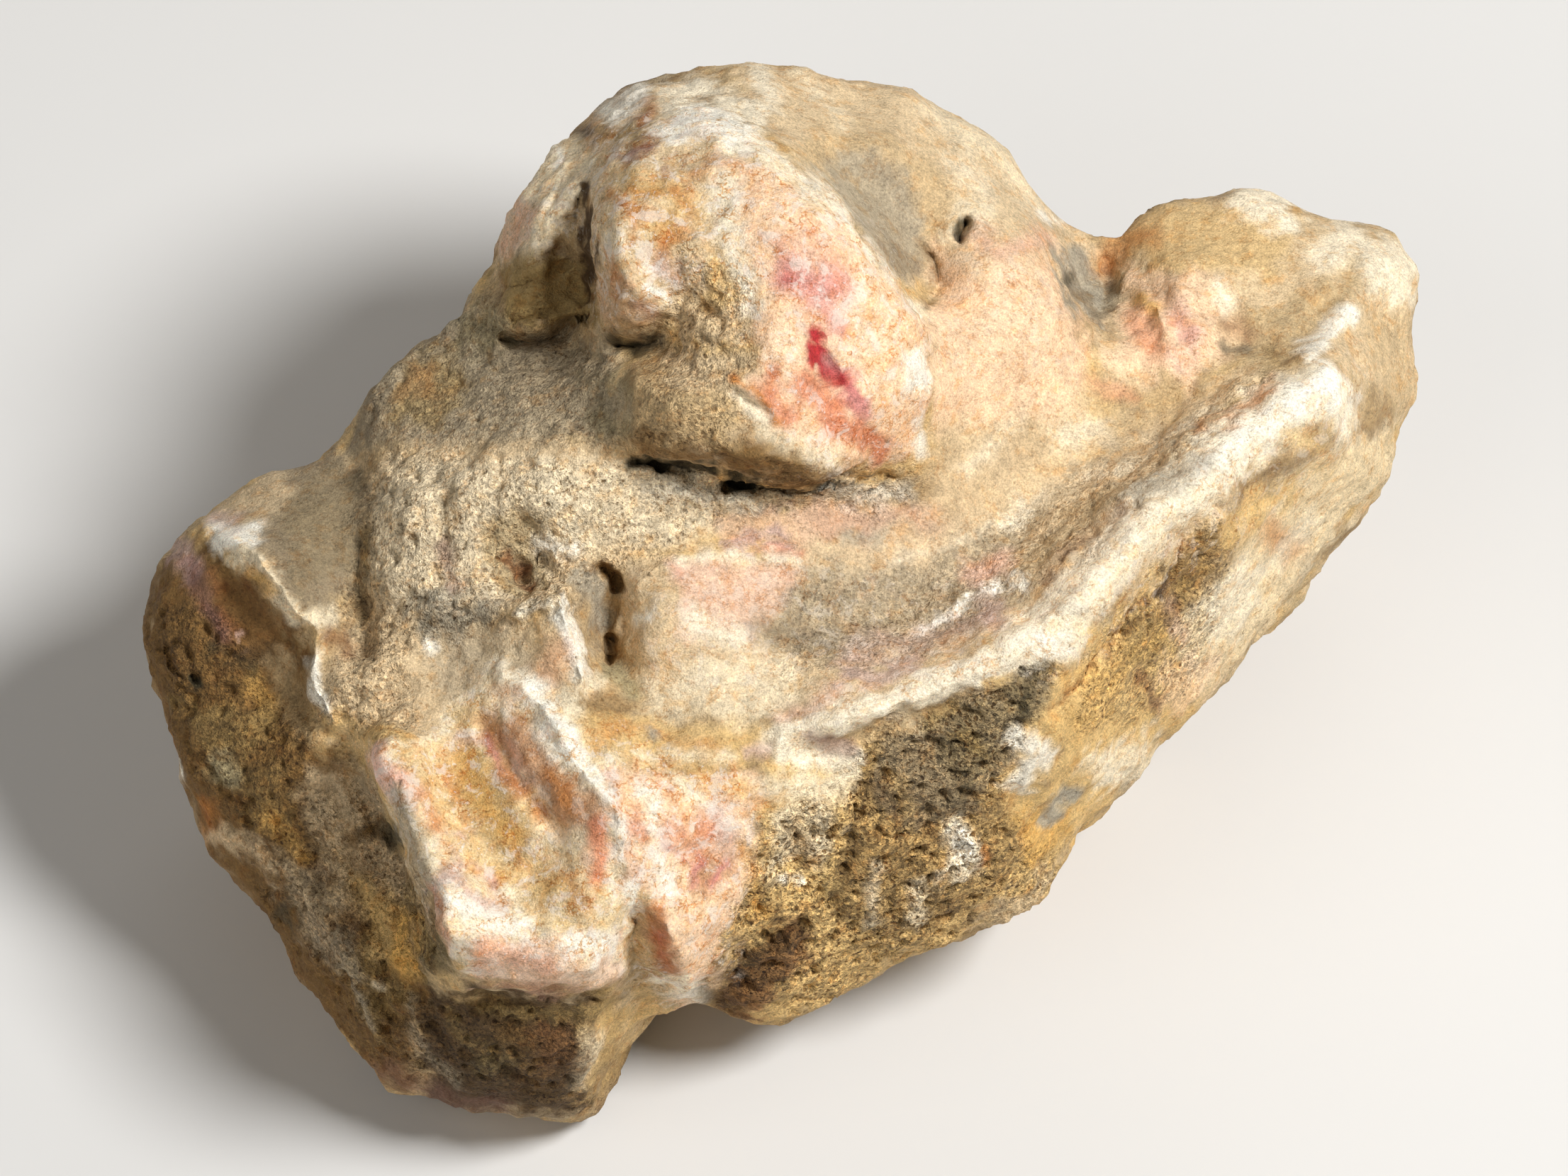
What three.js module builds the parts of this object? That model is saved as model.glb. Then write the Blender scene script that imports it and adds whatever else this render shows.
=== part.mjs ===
// A rough hand specimen of rhodochrosite: one broken and weathered lump with a crown, a pink block,
// a long pale ridge over a smooth trough, and a flat underside that it rests on.
// Millimetres, +Z up, origin at the middle of the bounding box's underside.
import * as THREE from "three";
import { ImprovedNoise } from "three/addons/math/ImprovedNoise.js";
import { mergeVertices } from "three/addons/utils/BufferGeometryUtils.js";

// The show face is the side that the specimen is displayed by. Places on it are [across, up, out]:
// across to the right, up the face, and out from it, in millimetres from the face's middle.
const FACE_LEAN = THREE.MathUtils.degToRad(32); // the face leans back from level by this much
const FACE_ABOVE_FLOOR = 24.5; // the face's middle above the underside
const SHEER = 4; // how far the surface stands out just inside the silhouette
const SHEER_ROUND = 5; // radius of the rounding from the silhouette onto the face
const LINE_STEP = 2; // spacing of the points that a crest or a hollow is drawn with
const LEDGE_HALF = 0.6; // half the width of a ledge's wall, seen from the front
const SOFTNESS = 0.5; // rounding where the surface bends at a point
const RIM_STEPS = 600; // places along the silhouette that its waves are measured at
const RIM_WAVES = 72; // waves along the silhouette, which set how fine its wobbles are
const SKIN_DETAIL = 20; // subdivisions of the sphere that the skin is drawn from
const FACE_SHARE = 0.6; // share of the skin's triangles that lie on the show face
const BASE_SHARE = 0.07; // share that lies on the flat underside
const BACK_DROP = 17; // how far the back runs straight away from the silhouette before it turns under
const BACK_DROP_LOW = 0.6; // the same for a low part of the silhouette, as a share of its height
const BUMPS = [
  { perMm: 0.13, height: 0.9, shift: 7.3 },
  { perMm: 0.3, height: 0.4, shift: 31.7 },
];
const BUMPS_FADE = 0.25; // the outer share of the show face over which they fade to the silhouette
const BACK_BUMPS = 2.6; // how much rougher the back is than the show face

// The flat underside, an uneven oval that lies slantwise under the lump.
const UNDERSIDE = {
  middle: new THREE.Vector3(-1.5, 5, 0),
  halfLong: 25,
  halfShort: 14,
  turn: THREE.MathUtils.degToRad(22),
  threefold: 0.06, // unevenness, as shares of its size
  fivefold: 0.04,
};

// The silhouette of the show face, anticlockwise from its right end.
const silhouette = [
  [37.5, 18.3, -13], [36.5, 20, -13], [34.5, 21.2, -14], [31, 21.8, -14], [29.5, 23, -15],
  [27.3, 23.8, -15], [25, 23.1, -15], [22, 22.5, -15], [20.2, 20.9, -15], [18.9, 19.4, -15],
  [18, 20.7, -15], [16, 21.7, -14], [15, 23.3, -13], [13.5, 25.5, -13], [11.5, 27.3, -12],
  [9.3, 28.1, -12], [8, 29.4, -12], [4, 29.7, -11], [0.5, 30.8, -10], [-2.5, 31, -10], [-6, 30.3, -9],
  [-9.5, 29, -8], [-13, 26, -8], [-15.5, 23, -7], [-16.8, 20.5, -7], [-17, 19, -7], [-18.2, 17.5, -6],
  [-19.5, 15, -6], [-22, 13.8, -6], [-24, 12, -6], [-25.5, 9.5, -6], [-26.4, 7.8, -6], [-30, 6.8, -6],
  [-33, 5, -6], [-35.5, 2.7, -5], [-37, 0, -5], [-37.4, -3, -4], [-37, -5.5, -4], [-36.4, -7, -4],
  [-36, -9.8, -4], [-34.5, -12, -4], [-33.6, -13.5, -4], [-33, -15.4, -4], [-31.3, -17.6, -5],
  [-29, -20.7, -5], [-28.3, -23, -5], [-25.4, -26.3, -4], [-24, -28, -4], [-22.5, -29.2, -4],
  [-20.7, -29.4, -4], [-19, -30.5, -4], [-16, -31, -4], [-12, -30.7, -4], [-10.8, -30, -4],
  [-10, -28, -4], [-9, -26.2, -4], [-8.2, -25, -3], [-6.6, -24.5, -2], [-4.7, -24.1, -3],
  [-3.5, -25.2, -5], [-1.5, -25.5, -5], [1, -24.8, -5], [3, -23.5, -5], [6, -22.3, -5],
  [10, -21.2, -5], [13, -19.6, -5], [15.3, -17.5, -6], [17, -14.2, -6], [20, -12, -7],
  [22.3, -9.3, -8], [24.5, -7, -8], [27, -3.6, -9], [30, 0, -10], [33, 3.6, -11], [35.4, 6.6, -11],
  [36, 9, -12], [37, 11, -12], [36.9, 15, -13],
];

// Lines along which the surface bends outwards.
const crests = {
  crownCrest: [
    [-5.5, 29.2, -3], [-5.5, 27.5, 2], [-3, 26, 5], [0, 24.5, 7], [2, 22.7, 8], [4.3, 20.5, 8],
    [6, 18, 7.5], [7.6, 15, 7], [8, 11, 6], [7.3, 7.8, 5],
  ],
  crownKeel: [
    [-4, 24.5, 8], [-3, 20.5, 10.5], [-2, 17, 11.5], [-1.5, 14, 12.3], [-2, 11, 12.6], [-2, 9.3, 12],
  ],
  crownColumn: [
    [-8.4, 28, 1], [-8.6, 25, 6.4], [-8.8, 22, 9], [-9, 19, 10.2], [-9, 16.6, 10], [-9, 15.2, 8.4],
  ],
  noseEdge: [[-8.7, 12.3, 9], [-8.9, 10, 9], [-8.4, 8.8, 8.7]],
  slitWall: [
    [-15, -1.3, 8], [-13.2, -0.4, 9.5], [-12.6, -2.5, 10.4], [-11.8, -4.5, 10.6], [-11.2, -5.8, 10.4],
  ],
  knuckleTop: [
    [-9, 0.2, 7.4], [-7, 1.6, 7.6], [-4, 2, 7.2], [-1, 1.6, 6.4], [2, 1.4, 5.6], [6, 1.8, 4.2],
  ],
  ridgeInner: [
    [3, -7.2, 11.2], [8, -5.2, 10.8], [13, -2.9, 10.2], [16.3, 0.9, 8.6], [19.5, 3.9, 7],
    [21, 5.8, 5.6], [23, 7.7, 4.1], [26.5, 10.2, 2.2], [29.3, 12.4, 0.7], [32, 13.5, -0.4],
  ],
  ridgeOuter: [
    [0, -8.4, 10.7], [4, -8, 11.2], [9, -6.3, 10.9], [13, -5.2, 10.8], [16, -4, 10.2],
    [18.3, -2.4, 9.3], [20.6, 0, 8], [22.6, 2.4, 6.5], [25.8, 4.6, 4.8], [28.3, 7.2, 2.8],
    [31.2, 8.2, 0.6], [33.2, 9, -1.5], [33.3, 12, -1.5],
  ],
  flankCorner: [
    [16, -5.2, 9.5], [16, -7.5, 7.8], [14.7, -9.5, 6.8], [15.2, -11.5, 4.6], [16, -13, 1.5],
  ],
  blockEdge: [
    [-20, -21.4, 10.6], [-18, -22.3, 10.8], [-15, -22.9, 10.8], [-12, -22.6, 10.8], [-10.4, -22, 10],
  ],
  blockVein: [
    [-16.5, -5.5, 8.8], [-14.8, -6.5, 10], [-13.4, -8.3, 11.3], [-11.2, -10.6, 12.6],
    [-9.6, -13, 13.1], [-9.2, -16, 12.6], [-9.5, -19, 11.6],
  ],
  prong: [[-7.8, -18, 11.2], [-7, -20, 10.6], [-6.2, -22, 9.4], [-5.6, -23.5, 6.4]],
  leftCrest: [
    [-33.4, 3, 0], [-31.2, 2.8, 2], [-30.6, 1.2, 3.2], [-29.2, -0.6, 3.8], [-27.6, -1.8, 3.8],
    [-25.8, -2.1, 3],
  ],
  leftFin: [[-27.2, -3, 3.7], [-27.7, -5, 4.1], [-27.2, -6.8, 4.6], [-25.8, -8.2, 5]],
  lowerCrease: [
    [-31, -15.2, -0.4], [-28.6, -19, 0.2], [-26.8, -22.6, 0], [-24.4, -26, 0.2], [-22, -28, -0.4],
  ],
  footCrest: [[-11, -24.6, 5.4], [-11, -26.5, 5], [-11.3, -28.4, 3], [-12.6, -29.6, 0.6]],
  buttressEdge: [
    [9.2, 16.6, 0.4], [9.6, 18.5, -0.6], [9.6, 20, -1.4], [11.5, 21.2, -1.6], [15.3, 21.3, -3.4],
    [16, 18.5, -3.4], [17, 15.5, -2.4],
  ],
  saddleRib: [
    [1.5, 29, -4.4], [1, 27.6, -2], [4, 26.3, -1.2], [6.4, 25.6, -1.8], [8.4, 24.2, -3],
    [9.8, 22.7, -3.2],
  ],
  lobeBrow: [
    [20, 20.3, -9.4], [23, 21.2, -9.8], [26, 21.6, -10.2], [29, 21.4, -9.8], [32, 20.2, -8.8],
    [34.6, 19.4, -8.6],
  ],
};

// Lines along which it bends inwards.
const hollows = {
  crownPit: [[-12.2, 22.8, 3.4], [-12.2, 21, 2.2], [-11.8, 19, 2], [-11.5, 17.3, 1]],
  crownRecess: [
    [-5.2, 20, 9.6], [-4.6, 17.8, 9.2], [-4.8, 16.2, 8.6], [-6.8, 15.4, 8.4], [-7.8, 14.2, 5.4],
  ],
  underColumn: [[-10.8, 14.6, 4], [-9.2, 13.9, 4], [-8, 13.8, 5]],
  saddle: [[2.6, 25, -0.4], [4.6, 23, -0.8], [6.6, 21, -1.6], [8, 19, -2.2], [8.5, 17.4, -1.8]],
  leftValley: [[-25.4, 7.2, -2.4], [-24.6, 4, 0.2], [-24.6, 1, 1.6], [-25, -1, 2.2], [-25.2, -3, 3]],
  domeGroove: [[-19.7, 7, 2.8], [-19.7, 4, 4], [-20, 1.6, 4.8]],
  domePit: [[-16, 2, 5.2], [-15, 0.6, 4.8]],
  slit: [[-10.4, 1, 6.2], [-10, -0.6, 4.8], [-10.1, -2.4, 4.4], [-10.4, -4, 5.6], [-9.9, -5.4, 7.2]],
  underLedge: [[-5, 4.2, 6.2], [0, 4.2, 5.2], [4, 4.6, 4.2], [7.5, 5.6, 3.4]],
  trough: [
    [2, -2.8, 6.6], [6, -1.8, 5.2], [10, 0.4, 3.8], [14, 3.6, 1.8], [18, 6.8, 0], [22, 9.6, -1.6],
    [26, 12.4, -2.9], [29.4, 14.6, -4.2],
  ],
  cave: [[17, 19.4, -9], [17.4, 17.3, -8.6], [18.5, 16, -8]],
  blockGully: [
    [-27.6, -7.6, 3.6], [-26.6, -9, 3.4], [-25.6, -11, 3.2], [-24.9, -13, 2.4], [-24, -15, 2],
    [-23.4, -17.6, 2.8], [-22.4, -20.2, 3.4], [-21.4, -23, 4],
  ],
  blockDish: [[-20, -10.5, 8.6], [-18.6, -13, 9.6], [-16.6, -15.4, 10.2], [-14.6, -16.6, 10.8]],
  prongGully: [[-9, -18.8, 9.6], [-9, -20.6, 7.6], [-8.8, -22.6, 6]],
  footGully: [[-4.2, -24, -1.4], [-2.9, -22.4, 1], [-1.9, -20.2, 4]],
  lowerGully: [[-31.6, -17, -2.8], [-29.4, -20, -3], [-27.4, -24, -3], [-25, -27, -3]],
  leftGully: [[-28.8, -5, 1.2], [-28.4, -7, 1.4]],
  flankGully: [[19, -3, 7], [21.4, -0.6, 5.6], [23.4, 2, 4.4]],
};

// Steep ledges, drawn from left to right: [across, up, out above the line, out below it].
const ledges = {
  blockWall: [
    [-24.2, -9.4, 8.6, 4.4], [-23.4, -12, 10.4, 3.6], [-22.5, -14.5, 11, 3], [-21.7, -17, 11, 3.4],
    [-21, -19.4, 10.8, 4], [-20.4, -21.8, 10, 4.6],
  ],
  crownLedge: [
    [-9, 8.2, 8.8, 7], [-7.4, 7.6, 9.8, 6.4], [-5, 7.3, 10.6, 6.2], [-3.4, 6.9, 11, 5.4],
    [-1.6, 6.3, 11, 4.8], [0.4, 5.9, 10.4, 4.6], [2.2, 5.7, 9.4, 4.4], [4, 6.4, 7.6, 4.4],
    [6, 6.8, 5.8, 4.2],
  ],
  jaw: [[-16, 14.4, 1.2, -0.8], [-14.4, 14.8, 2.2, -0.2], [-12.6, 15.6, 1.8, 0.2]],
  blockFoot: [
    [-19.6, -22.9, 9, 4.8], [-17, -23.7, 9.4, 5.2], [-14, -24, 9.2, 5], [-11.6, -23.8, 9, 4.8],
    [-9.8, -23.8, 7.4, 4.6],
  ],
};

// Single heights on the broad faces between those lines.
const faces = [
  [-1, 20.5, 10.9], [1.4, 17, 11.6], [2.8, 13, 11.6], [5.2, 15, 9.6], [5.4, 11, 9.6], [2.4, 9.4, 11],
  [-6, 11.4, 12], [-5, 9, 11.2], [-6, 22.6, 9.4], [-6.6, 18.6, 10], [-10.7, 19.4, 7.4],
  [-10.6, 16.6, 7], [-10.6, 25.4, 2.6], [-14.6, 22, 0], [-15.6, 18.4, -0.4], [-14, 17, 1.6],
  [-15.4, 15.8, 1.8], [-12, 12.4, 2.6], [-16, 12, 1.2], [-20, 12, -2], [-13, 9, 5], [-17, 8.6, 3.4],
  [-21.6, 8.6, 0], [-9.8, 10.4, 6.6], [-10.4, 12.8, 5], [-21.8, 4.6, 4.2], [-17.6, 4.6, 6],
  [-14, 5, 7], [-10.6, 5.4, 6.8], [-7, 5.6, 5.8], [-21.8, 0.6, 5.4], [-17.6, 0.4, 6.8],
  [-12.4, 2.2, 7], [-20, -3, 6.2], [-23, -4, 5.6], [-23.4, -7.4, 6], [-19, -7, 7.2],
  [-14.6, -3.6, 8.8], [-6, -1.4, 9.4], [-3, -2.4, 9], [-8.6, -3, 8.4], [-8.4, -0.6, 8.6],
  [-5, -5.4, 9.2], [0, -5, 8.6], [-8, -8.6, 10.2], [-3.4, -8.8, 10.4], [9.4, -3, 7.4], [13, 0.4, 5.6],
  [10, 5, 2.6], [10, 9, 2.8], [14, 7, 0.4], [14, 10.4, 0.4], [18, 11, -1.8], [12, 13.4, 2],
  [14.4, 17, -0.4], [11.8, 17.6, 0.8], [21, 14.6, -4.2], [23.4, 15.4, -4.4], [22.4, 18, -6.4],
  [26.6, 18, -7], [27, 15, -5.6], [30, 16.4, -6.2], [33.4, 17, -6.4], [31.4, 14.8, -4], [35, 16, -9],
  [35, 12, -7], [34.4, 8.6, -6.4], [30, 4.6, -3.4], [26, 1, 0.4], [22, -3.4, 2.6], [18.6, -6.6, 4.6],
  [19, -10, 0], [24, -5, -3], [28.6, 1, -6], [7, -9, 9.4], [11.4, -8.4, 8.8], [4, -11.4, 8],
  [9, -12.6, 6.4], [13, -12.6, 5.4], [1, -14.6, 7], [5.4, -16, 4.8], [10.4, -16.4, 2.8],
  [13.4, -16.6, 0.2], [1, -18.4, 4.4], [6, -19.6, 1.6], [0, -22.4, 1.8], [-2.4, -23.8, 0.6],
  [-2, -12, 10.4], [-5.4, -13.6, 11.2], [-2.6, -16.4, 8.8], [-6.2, -16.4, 10.8], [-4.4, -20.6, 8],
  [-3.8, -22.6, 4.6], [-17.4, -18.4, 11.6], [-13, -18.6, 12.6], [-14.6, -21, 12], [-11.2, -20.4, 12],
  [-12.6, -13.4, 12.2], [-13.2, -10.8, 12.2], [-21, -9, 8.4], [-17.6, -8.4, 8.8], [-20.8, -14.4, 11],
  [-18, -26, 4.6], [-14.6, -26.6, 4.8], [-17, -28.8, 1.8], [-9.4, -25.6, 2.8], [-21.4, -25, 3.2],
  [-24, -21, 2.6], [-25, -17, 2.8], [-27, -13.4, 2.4], [-29.4, -15.4, 1.2], [-31, -11.4, 0.6],
  [-28.6, -10, 2.8], [-32.4, -8, 0.6], [-33, -4.4, 0.2], [-30.8, -4.8, 0.8], [-35, -1, -0.6],
  [-32.2, -0.6, 0.6], [-30.6, -2.6, 1], [-28.4, 3.4, 0.6], [-27.4, 0.8, 2.6], [-26.6, 4.4, 0],
  [-30.4, 4.8, -1.4], [-34.4, 1.8, -1], [4, 27.6, -4.4], [9.6, 26, -6], [12.4, 24, -6.6],
  [-1.6, 28.4, -1.6], [7.6, 23, -2.2], [12.4, 21.8, -3],
];

// Adds points between the ends of each stretch, so that none is further apart than the step.
function drawLine(points) {
  const drawn = [points[0]];
  for (let i = 1; i < points.length; i++) {
    const from = points[i - 1];
    const to = points[i];
    const count = Math.max(1, Math.round(Math.hypot(to[0] - from[0], to[1] - from[1]) / LINE_STEP));
    for (let n = 1; n <= count; n++) {
      drawn.push(from.map((value, axis) => THREE.MathUtils.lerp(value, to[axis], n / count)));
    }
  }
  return drawn;
}

// A ledge is two lines side by side, the upper one standing out and the lower one set back.
function drawLedge(points) {
  const drawn = drawLine(points);
  return drawn.flatMap(([across, up, above, below], i) => {
    const before = drawn[Math.max(i - 1, 0)];
    const after = drawn[Math.min(i + 1, drawn.length - 1)];
    const normal = new THREE.Vector2(before[1] - after[1], after[0] - before[0]).setLength(LEDGE_HALF);
    return [
      [across + normal.x, up + normal.y, above],
      [across - normal.x, up - normal.y, below],
    ];
  });
}

// Solves a system of linear equations by elimination, each row ending in its right-hand side.
function solve(rows) {
  const size = rows.length;
  for (let column = 0; column < size; column++) {
    let best = column;
    for (let r = column + 1; r < size; r++) {
      if (Math.abs(rows[r][column]) > Math.abs(rows[best][column])) best = r;
    }
    [rows[column], rows[best]] = [rows[best], rows[column]];
    for (let r = column + 1; r < size; r++) {
      const factor = rows[r][column] / rows[column][column];
      for (let c = column; c <= size; c++) rows[r][c] -= factor * rows[column][c];
    }
  }
  const answer = new Array(size);
  for (let r = size - 1; r >= 0; r--) {
    let sum = rows[r][size];
    for (let c = r + 1; c < size; c++) sum -= rows[r][c] * answer[c];
    answer[r] = sum / rows[r][r];
  }
  return answer;
}

// A surface stretched through the given points, creased at each by the softness.
function stretchSurface(points) {
  const pull = (a, b) => Math.hypot(a[0] - b[0], a[1] - b[1], SOFTNESS);
  const rows = points.map((p) => [...points.map((q) => pull(p, q)), 1, p[0], p[1], p[2]]);
  const constraint = (pick) => [...points.map(pick), 0, 0, 0, 0];
  rows.push(
    constraint(() => 1),
    constraint((p) => p[0]),
    constraint((p) => p[1]),
  );
  const weights = solve(rows);
  const [level, slopeAcross, slopeUp] = weights.slice(-3);
  return (across, up) => {
    const plane = level + slopeAcross * across + slopeUp * up;
    return points.reduce((sum, p, i) => sum + weights[i] * pull(p, [across, up]), plane);
  };
}

// The silhouette as a smooth closed curve, and the way that a round skin stretches to fill it. Each wave
// along the silhouette fades towards the middle of the face, the shorter waves first.
function makeRim() {
  const curve = new THREE.CatmullRomCurve3(
    silhouette.map((p) => new THREE.Vector3(...p)),
    true,
    "centripetal",
  );
  curve.arcLengthDivisions = 2000;
  const path = curve.getSpacedPoints(RIM_STEPS).slice(0, -1);
  const waves = [];
  for (let order = -RIM_WAVES; order <= RIM_WAVES; order++) {
    const wave = { order, along: new THREE.Vector3(), across: new THREE.Vector3() };
    path.forEach((p, i) => {
      const turn = (2 * Math.PI * i * order) / RIM_STEPS;
      wave.along.addScaledVector(p, Math.cos(turn) / RIM_STEPS);
      wave.across.addScaledVector(p, Math.sin(turn) / RIM_STEPS);
    });
    waves.push(wave);
  }
  const at = (share, angle) => {
    const point = new THREE.Vector3();
    for (const { order, along, across } of waves) {
      const strength = share ** Math.abs(order);
      point.addScaledVector(along, strength * Math.cos(order * angle));
      point.addScaledVector(across, strength * Math.sin(order * angle));
    }
    return point;
  };
  const distance = (across, up) => Math.min(...path.map((p) => Math.hypot(p.x - across, p.y - up)));
  return { at, distance };
}

const rim = makeRim();
const stretched = stretchSurface([
  ...silhouette.map(([across, up, out]) => [across, up, out + SHEER]),
  ...Object.values(crests).flatMap(drawLine),
  ...Object.values(hollows).flatMap(drawLine),
  ...Object.values(ledges).flatMap(drawLedge),
  ...faces,
]);

const noise = new ImprovedNoise();

function bumps({ x, y, z }) {
  return BUMPS.reduce((sum, { perMm, height, shift }) => {
    const [a, b, c] = [x, y, z].map((value) => value * perMm + shift);
    return sum + height * noise.noise(a, b, c);
  }, 0);
}

// How far out the show face stands at a place on it. It rounds off to the silhouette.
function faceOut(across, up, edgeOut) {
  const inside = Math.min(rim.distance(across, up) / SHEER_ROUND, 1);
  const rounding = Math.sqrt(1 - (1 - inside) ** 2);
  return THREE.MathUtils.lerp(edgeOut, stretched(across, up), rounding);
}

const faceToPart = new THREE.Matrix4().makeRotationX(FACE_LEAN).setPosition(0, 0, FACE_ABOVE_FLOOR);
const zAxis = new THREE.Vector3(0, 0, 1);
const faceNormal = zAxis.clone().transformDirection(faceToPart);

// A point of the show face: share runs from its middle, 0, to the silhouette, 1.
function facePoint(share, angle) {
  const point = rim.at(share, angle);
  point.z = faceOut(point.x, point.y, rim.at(1, angle).z);
  point.z += bumps(point) * Math.min(1, (1 - share) / BUMPS_FADE);
  return point.applyMatrix4(faceToPart);
}

// The silhouette's point at an angle of the skin, in the part's own frame.
function rimPoint(angle) {
  return rim.at(1, angle).applyMatrix4(faceToPart);
}

// Where the flat underside ends, below the silhouette's point at an angle of the skin.
function basePoint(angle) {
  const { middle, halfLong, halfShort, turn, threefold, fivefold } = UNDERSIDE;
  const above = rimPoint(angle).sub(middle).applyAxisAngle(zAxis, -turn);
  const bearing = Math.atan2(above.y / halfShort, above.x / halfLong);
  const size = 1 + threefold * Math.sin(3 * bearing + 1) + fivefold * Math.sin(5 * bearing);
  const point = new THREE.Vector3(halfLong * Math.cos(bearing), halfShort * Math.sin(bearing), 0);
  return point.multiplyScalar(size).applyAxisAngle(zAxis, turn).add(middle);
}

// A point of the back: share runs from the silhouette, 0, to the edge of the underside, 1.
function backPoint(share, angle) {
  const start = rimPoint(angle);
  const drop = Math.min(BACK_DROP, (BACK_DROP_LOW * start.z) / faceNormal.z);
  const turn = start.clone().addScaledVector(faceNormal, -drop);
  const point = new THREE.QuadraticBezierCurve3(start, turn, basePoint(angle)).getPoint(share);
  const outward = point.clone().sub(UNDERSIDE.middle).setZ(0).normalize();
  return point.addScaledVector(outward, BACK_BUMPS * bumps(point) * Math.sin(Math.PI * share));
}

// A unit sphere is drawn out into the skin. Its +Z cap is the show face; the back and the underside
// come after that.
function specimenGeometry() {
  const sphere = new THREE.IcosahedronGeometry(1, SKIN_DETAIL);
  sphere.deleteAttribute("normal");
  sphere.deleteAttribute("uv");
  const skin = mergeVertices(sphere, 1e-5);
  const faceEnd = Math.acos(1 - 2 * FACE_SHARE);
  const backEnd = Math.acos(2 * BASE_SHARE - 1);
  const places = skin.getAttribute("position");
  const point = new THREE.Vector3();
  for (let i = 0; i < places.count; i++) {
    point.fromBufferAttribute(places, i).normalize();
    const polar = point.angleTo(zAxis);
    const angle = Math.atan2(point.y, point.x);
    if (polar <= faceEnd) point.copy(facePoint(polar / faceEnd, angle));
    else if (polar <= backEnd) point.copy(backPoint((polar - faceEnd) / (backEnd - faceEnd), angle));
    else point.lerpVectors(UNDERSIDE.middle, basePoint(angle), (Math.PI - polar) / (Math.PI - backEnd));
    places.setXYZ(i, point.x, point.y, point.z);
  }
  skin.computeBoundingBox();
  const middle = skin.boundingBox.getCenter(new THREE.Vector3());
  skin.translate(-middle.x, -middle.y, 0);
  skin.computeVertexNormals();
  return skin;
}

const specimen = new THREE.Group();
const stone = new THREE.Mesh(
  specimenGeometry(),
  new THREE.MeshStandardMaterial({ color: 0xc2a27c, roughness: 0.8, metalness: 0 }),
);
stone.name = "rhodochrosite_specimen";
specimen.add(stone);

export default specimen;
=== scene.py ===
import math

import bpy
import numpy as np
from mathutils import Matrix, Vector, noise


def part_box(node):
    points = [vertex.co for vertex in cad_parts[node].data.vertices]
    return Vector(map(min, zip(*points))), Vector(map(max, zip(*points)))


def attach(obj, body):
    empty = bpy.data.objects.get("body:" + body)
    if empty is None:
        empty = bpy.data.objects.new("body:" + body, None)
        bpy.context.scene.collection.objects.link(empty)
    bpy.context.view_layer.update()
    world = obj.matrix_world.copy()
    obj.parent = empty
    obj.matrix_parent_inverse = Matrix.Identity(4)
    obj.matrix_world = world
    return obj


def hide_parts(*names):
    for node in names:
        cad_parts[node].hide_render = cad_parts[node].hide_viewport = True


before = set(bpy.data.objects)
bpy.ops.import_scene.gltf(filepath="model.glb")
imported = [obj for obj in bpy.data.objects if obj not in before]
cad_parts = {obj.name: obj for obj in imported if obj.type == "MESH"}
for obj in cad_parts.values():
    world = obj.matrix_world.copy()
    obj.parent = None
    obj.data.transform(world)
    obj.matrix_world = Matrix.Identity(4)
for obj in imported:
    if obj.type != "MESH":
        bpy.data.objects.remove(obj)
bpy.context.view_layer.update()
nodeName = "rhodochrosite_specimen"
low, high = (Vector(corner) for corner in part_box(nodeName))

# The show face is the side that the stone is displayed by. Places on it are (across, up) in
# millimetres from its middle; out is how far they stand out from it.
showFace = {
    "lean": 32,  # degrees that the face leans back from level
    "middle": (0.1, -4.6, 24.5),  # millimetres from the middle of the underside of the box
}
lean = math.radians(showFace["lean"])
acrossAxis = Vector((1, 0, 0))
upAxis = Vector((0, math.cos(lean), math.sin(lean)))
outAxis = Vector((0, -math.sin(lean), math.cos(lean)))
faceAxes = np.array([acrossAxis, upAxis, outAxis])
underside = Vector(((low.x + high.x) / 2, (low.y + high.y) / 2, low.z))
faceMiddle = underside + Vector(showFace["middle"]) / 1000


def smoothStep(value, start, end):
    share = np.clip((value - start) / (end - start), 0, 1)
    return share * share * (3 - 2 * share)


def waves(places, size, octaves=3, seed=0):
    moved = (np.asarray(places) / size + seed * 17.3).tolist()
    return np.array([noise.fractal(place, 1.0, 2.0, octaves) for place in moved])


def lineReach(places, line):  # distance to a line through points
    near = np.full(len(places), 1e9)
    for start, end in zip(line[:-1], line[1:]):
        along = end - start
        gap = places[:, :2] - start
        share = np.clip(gap @ along / (along @ along), 0, 1)
        near = np.minimum(near, np.hypot(*(gap - share[:, None] * along).T))
    return near


def areaReach(places, outline):  # distance to an outline, negative inside it
    ring = np.vstack([outline, outline[:1]])
    near = lineReach(places, ring)
    inside = np.zeros(len(places), bool)
    for (x0, y0), (x1, y1) in zip(ring[:-1], ring[1:]):
        if y0 == y1:
            continue
        spans = (places[:, 1] > y0) != (places[:, 1] > y1)
        crossing = x0 + (places[:, 1] - y0) * (x1 - x0) / (y1 - y0)
        inside ^= spans & (places[:, 0] < crossing)
    return np.where(inside, -near, near)


def meshPlaces(mesh):
    flat = np.empty(len(mesh.vertices) * 3)
    mesh.vertices.foreach_get("co", flat)
    return flat.reshape(-1, 3)


def meshNormals(mesh):
    flat = np.empty(len(mesh.vertices) * 3, np.float32)
    mesh.vertices.foreach_get("normal", flat)
    return flat.reshape(-1, 3).astype(float)


def setPlaces(mesh, places):
    mesh.vertices.foreach_set("co", places.ravel())
    mesh.update()


def onFace(places):
    return (places * 1000 - np.array(faceMiddle) * 1000) @ faceAxes.T


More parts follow.
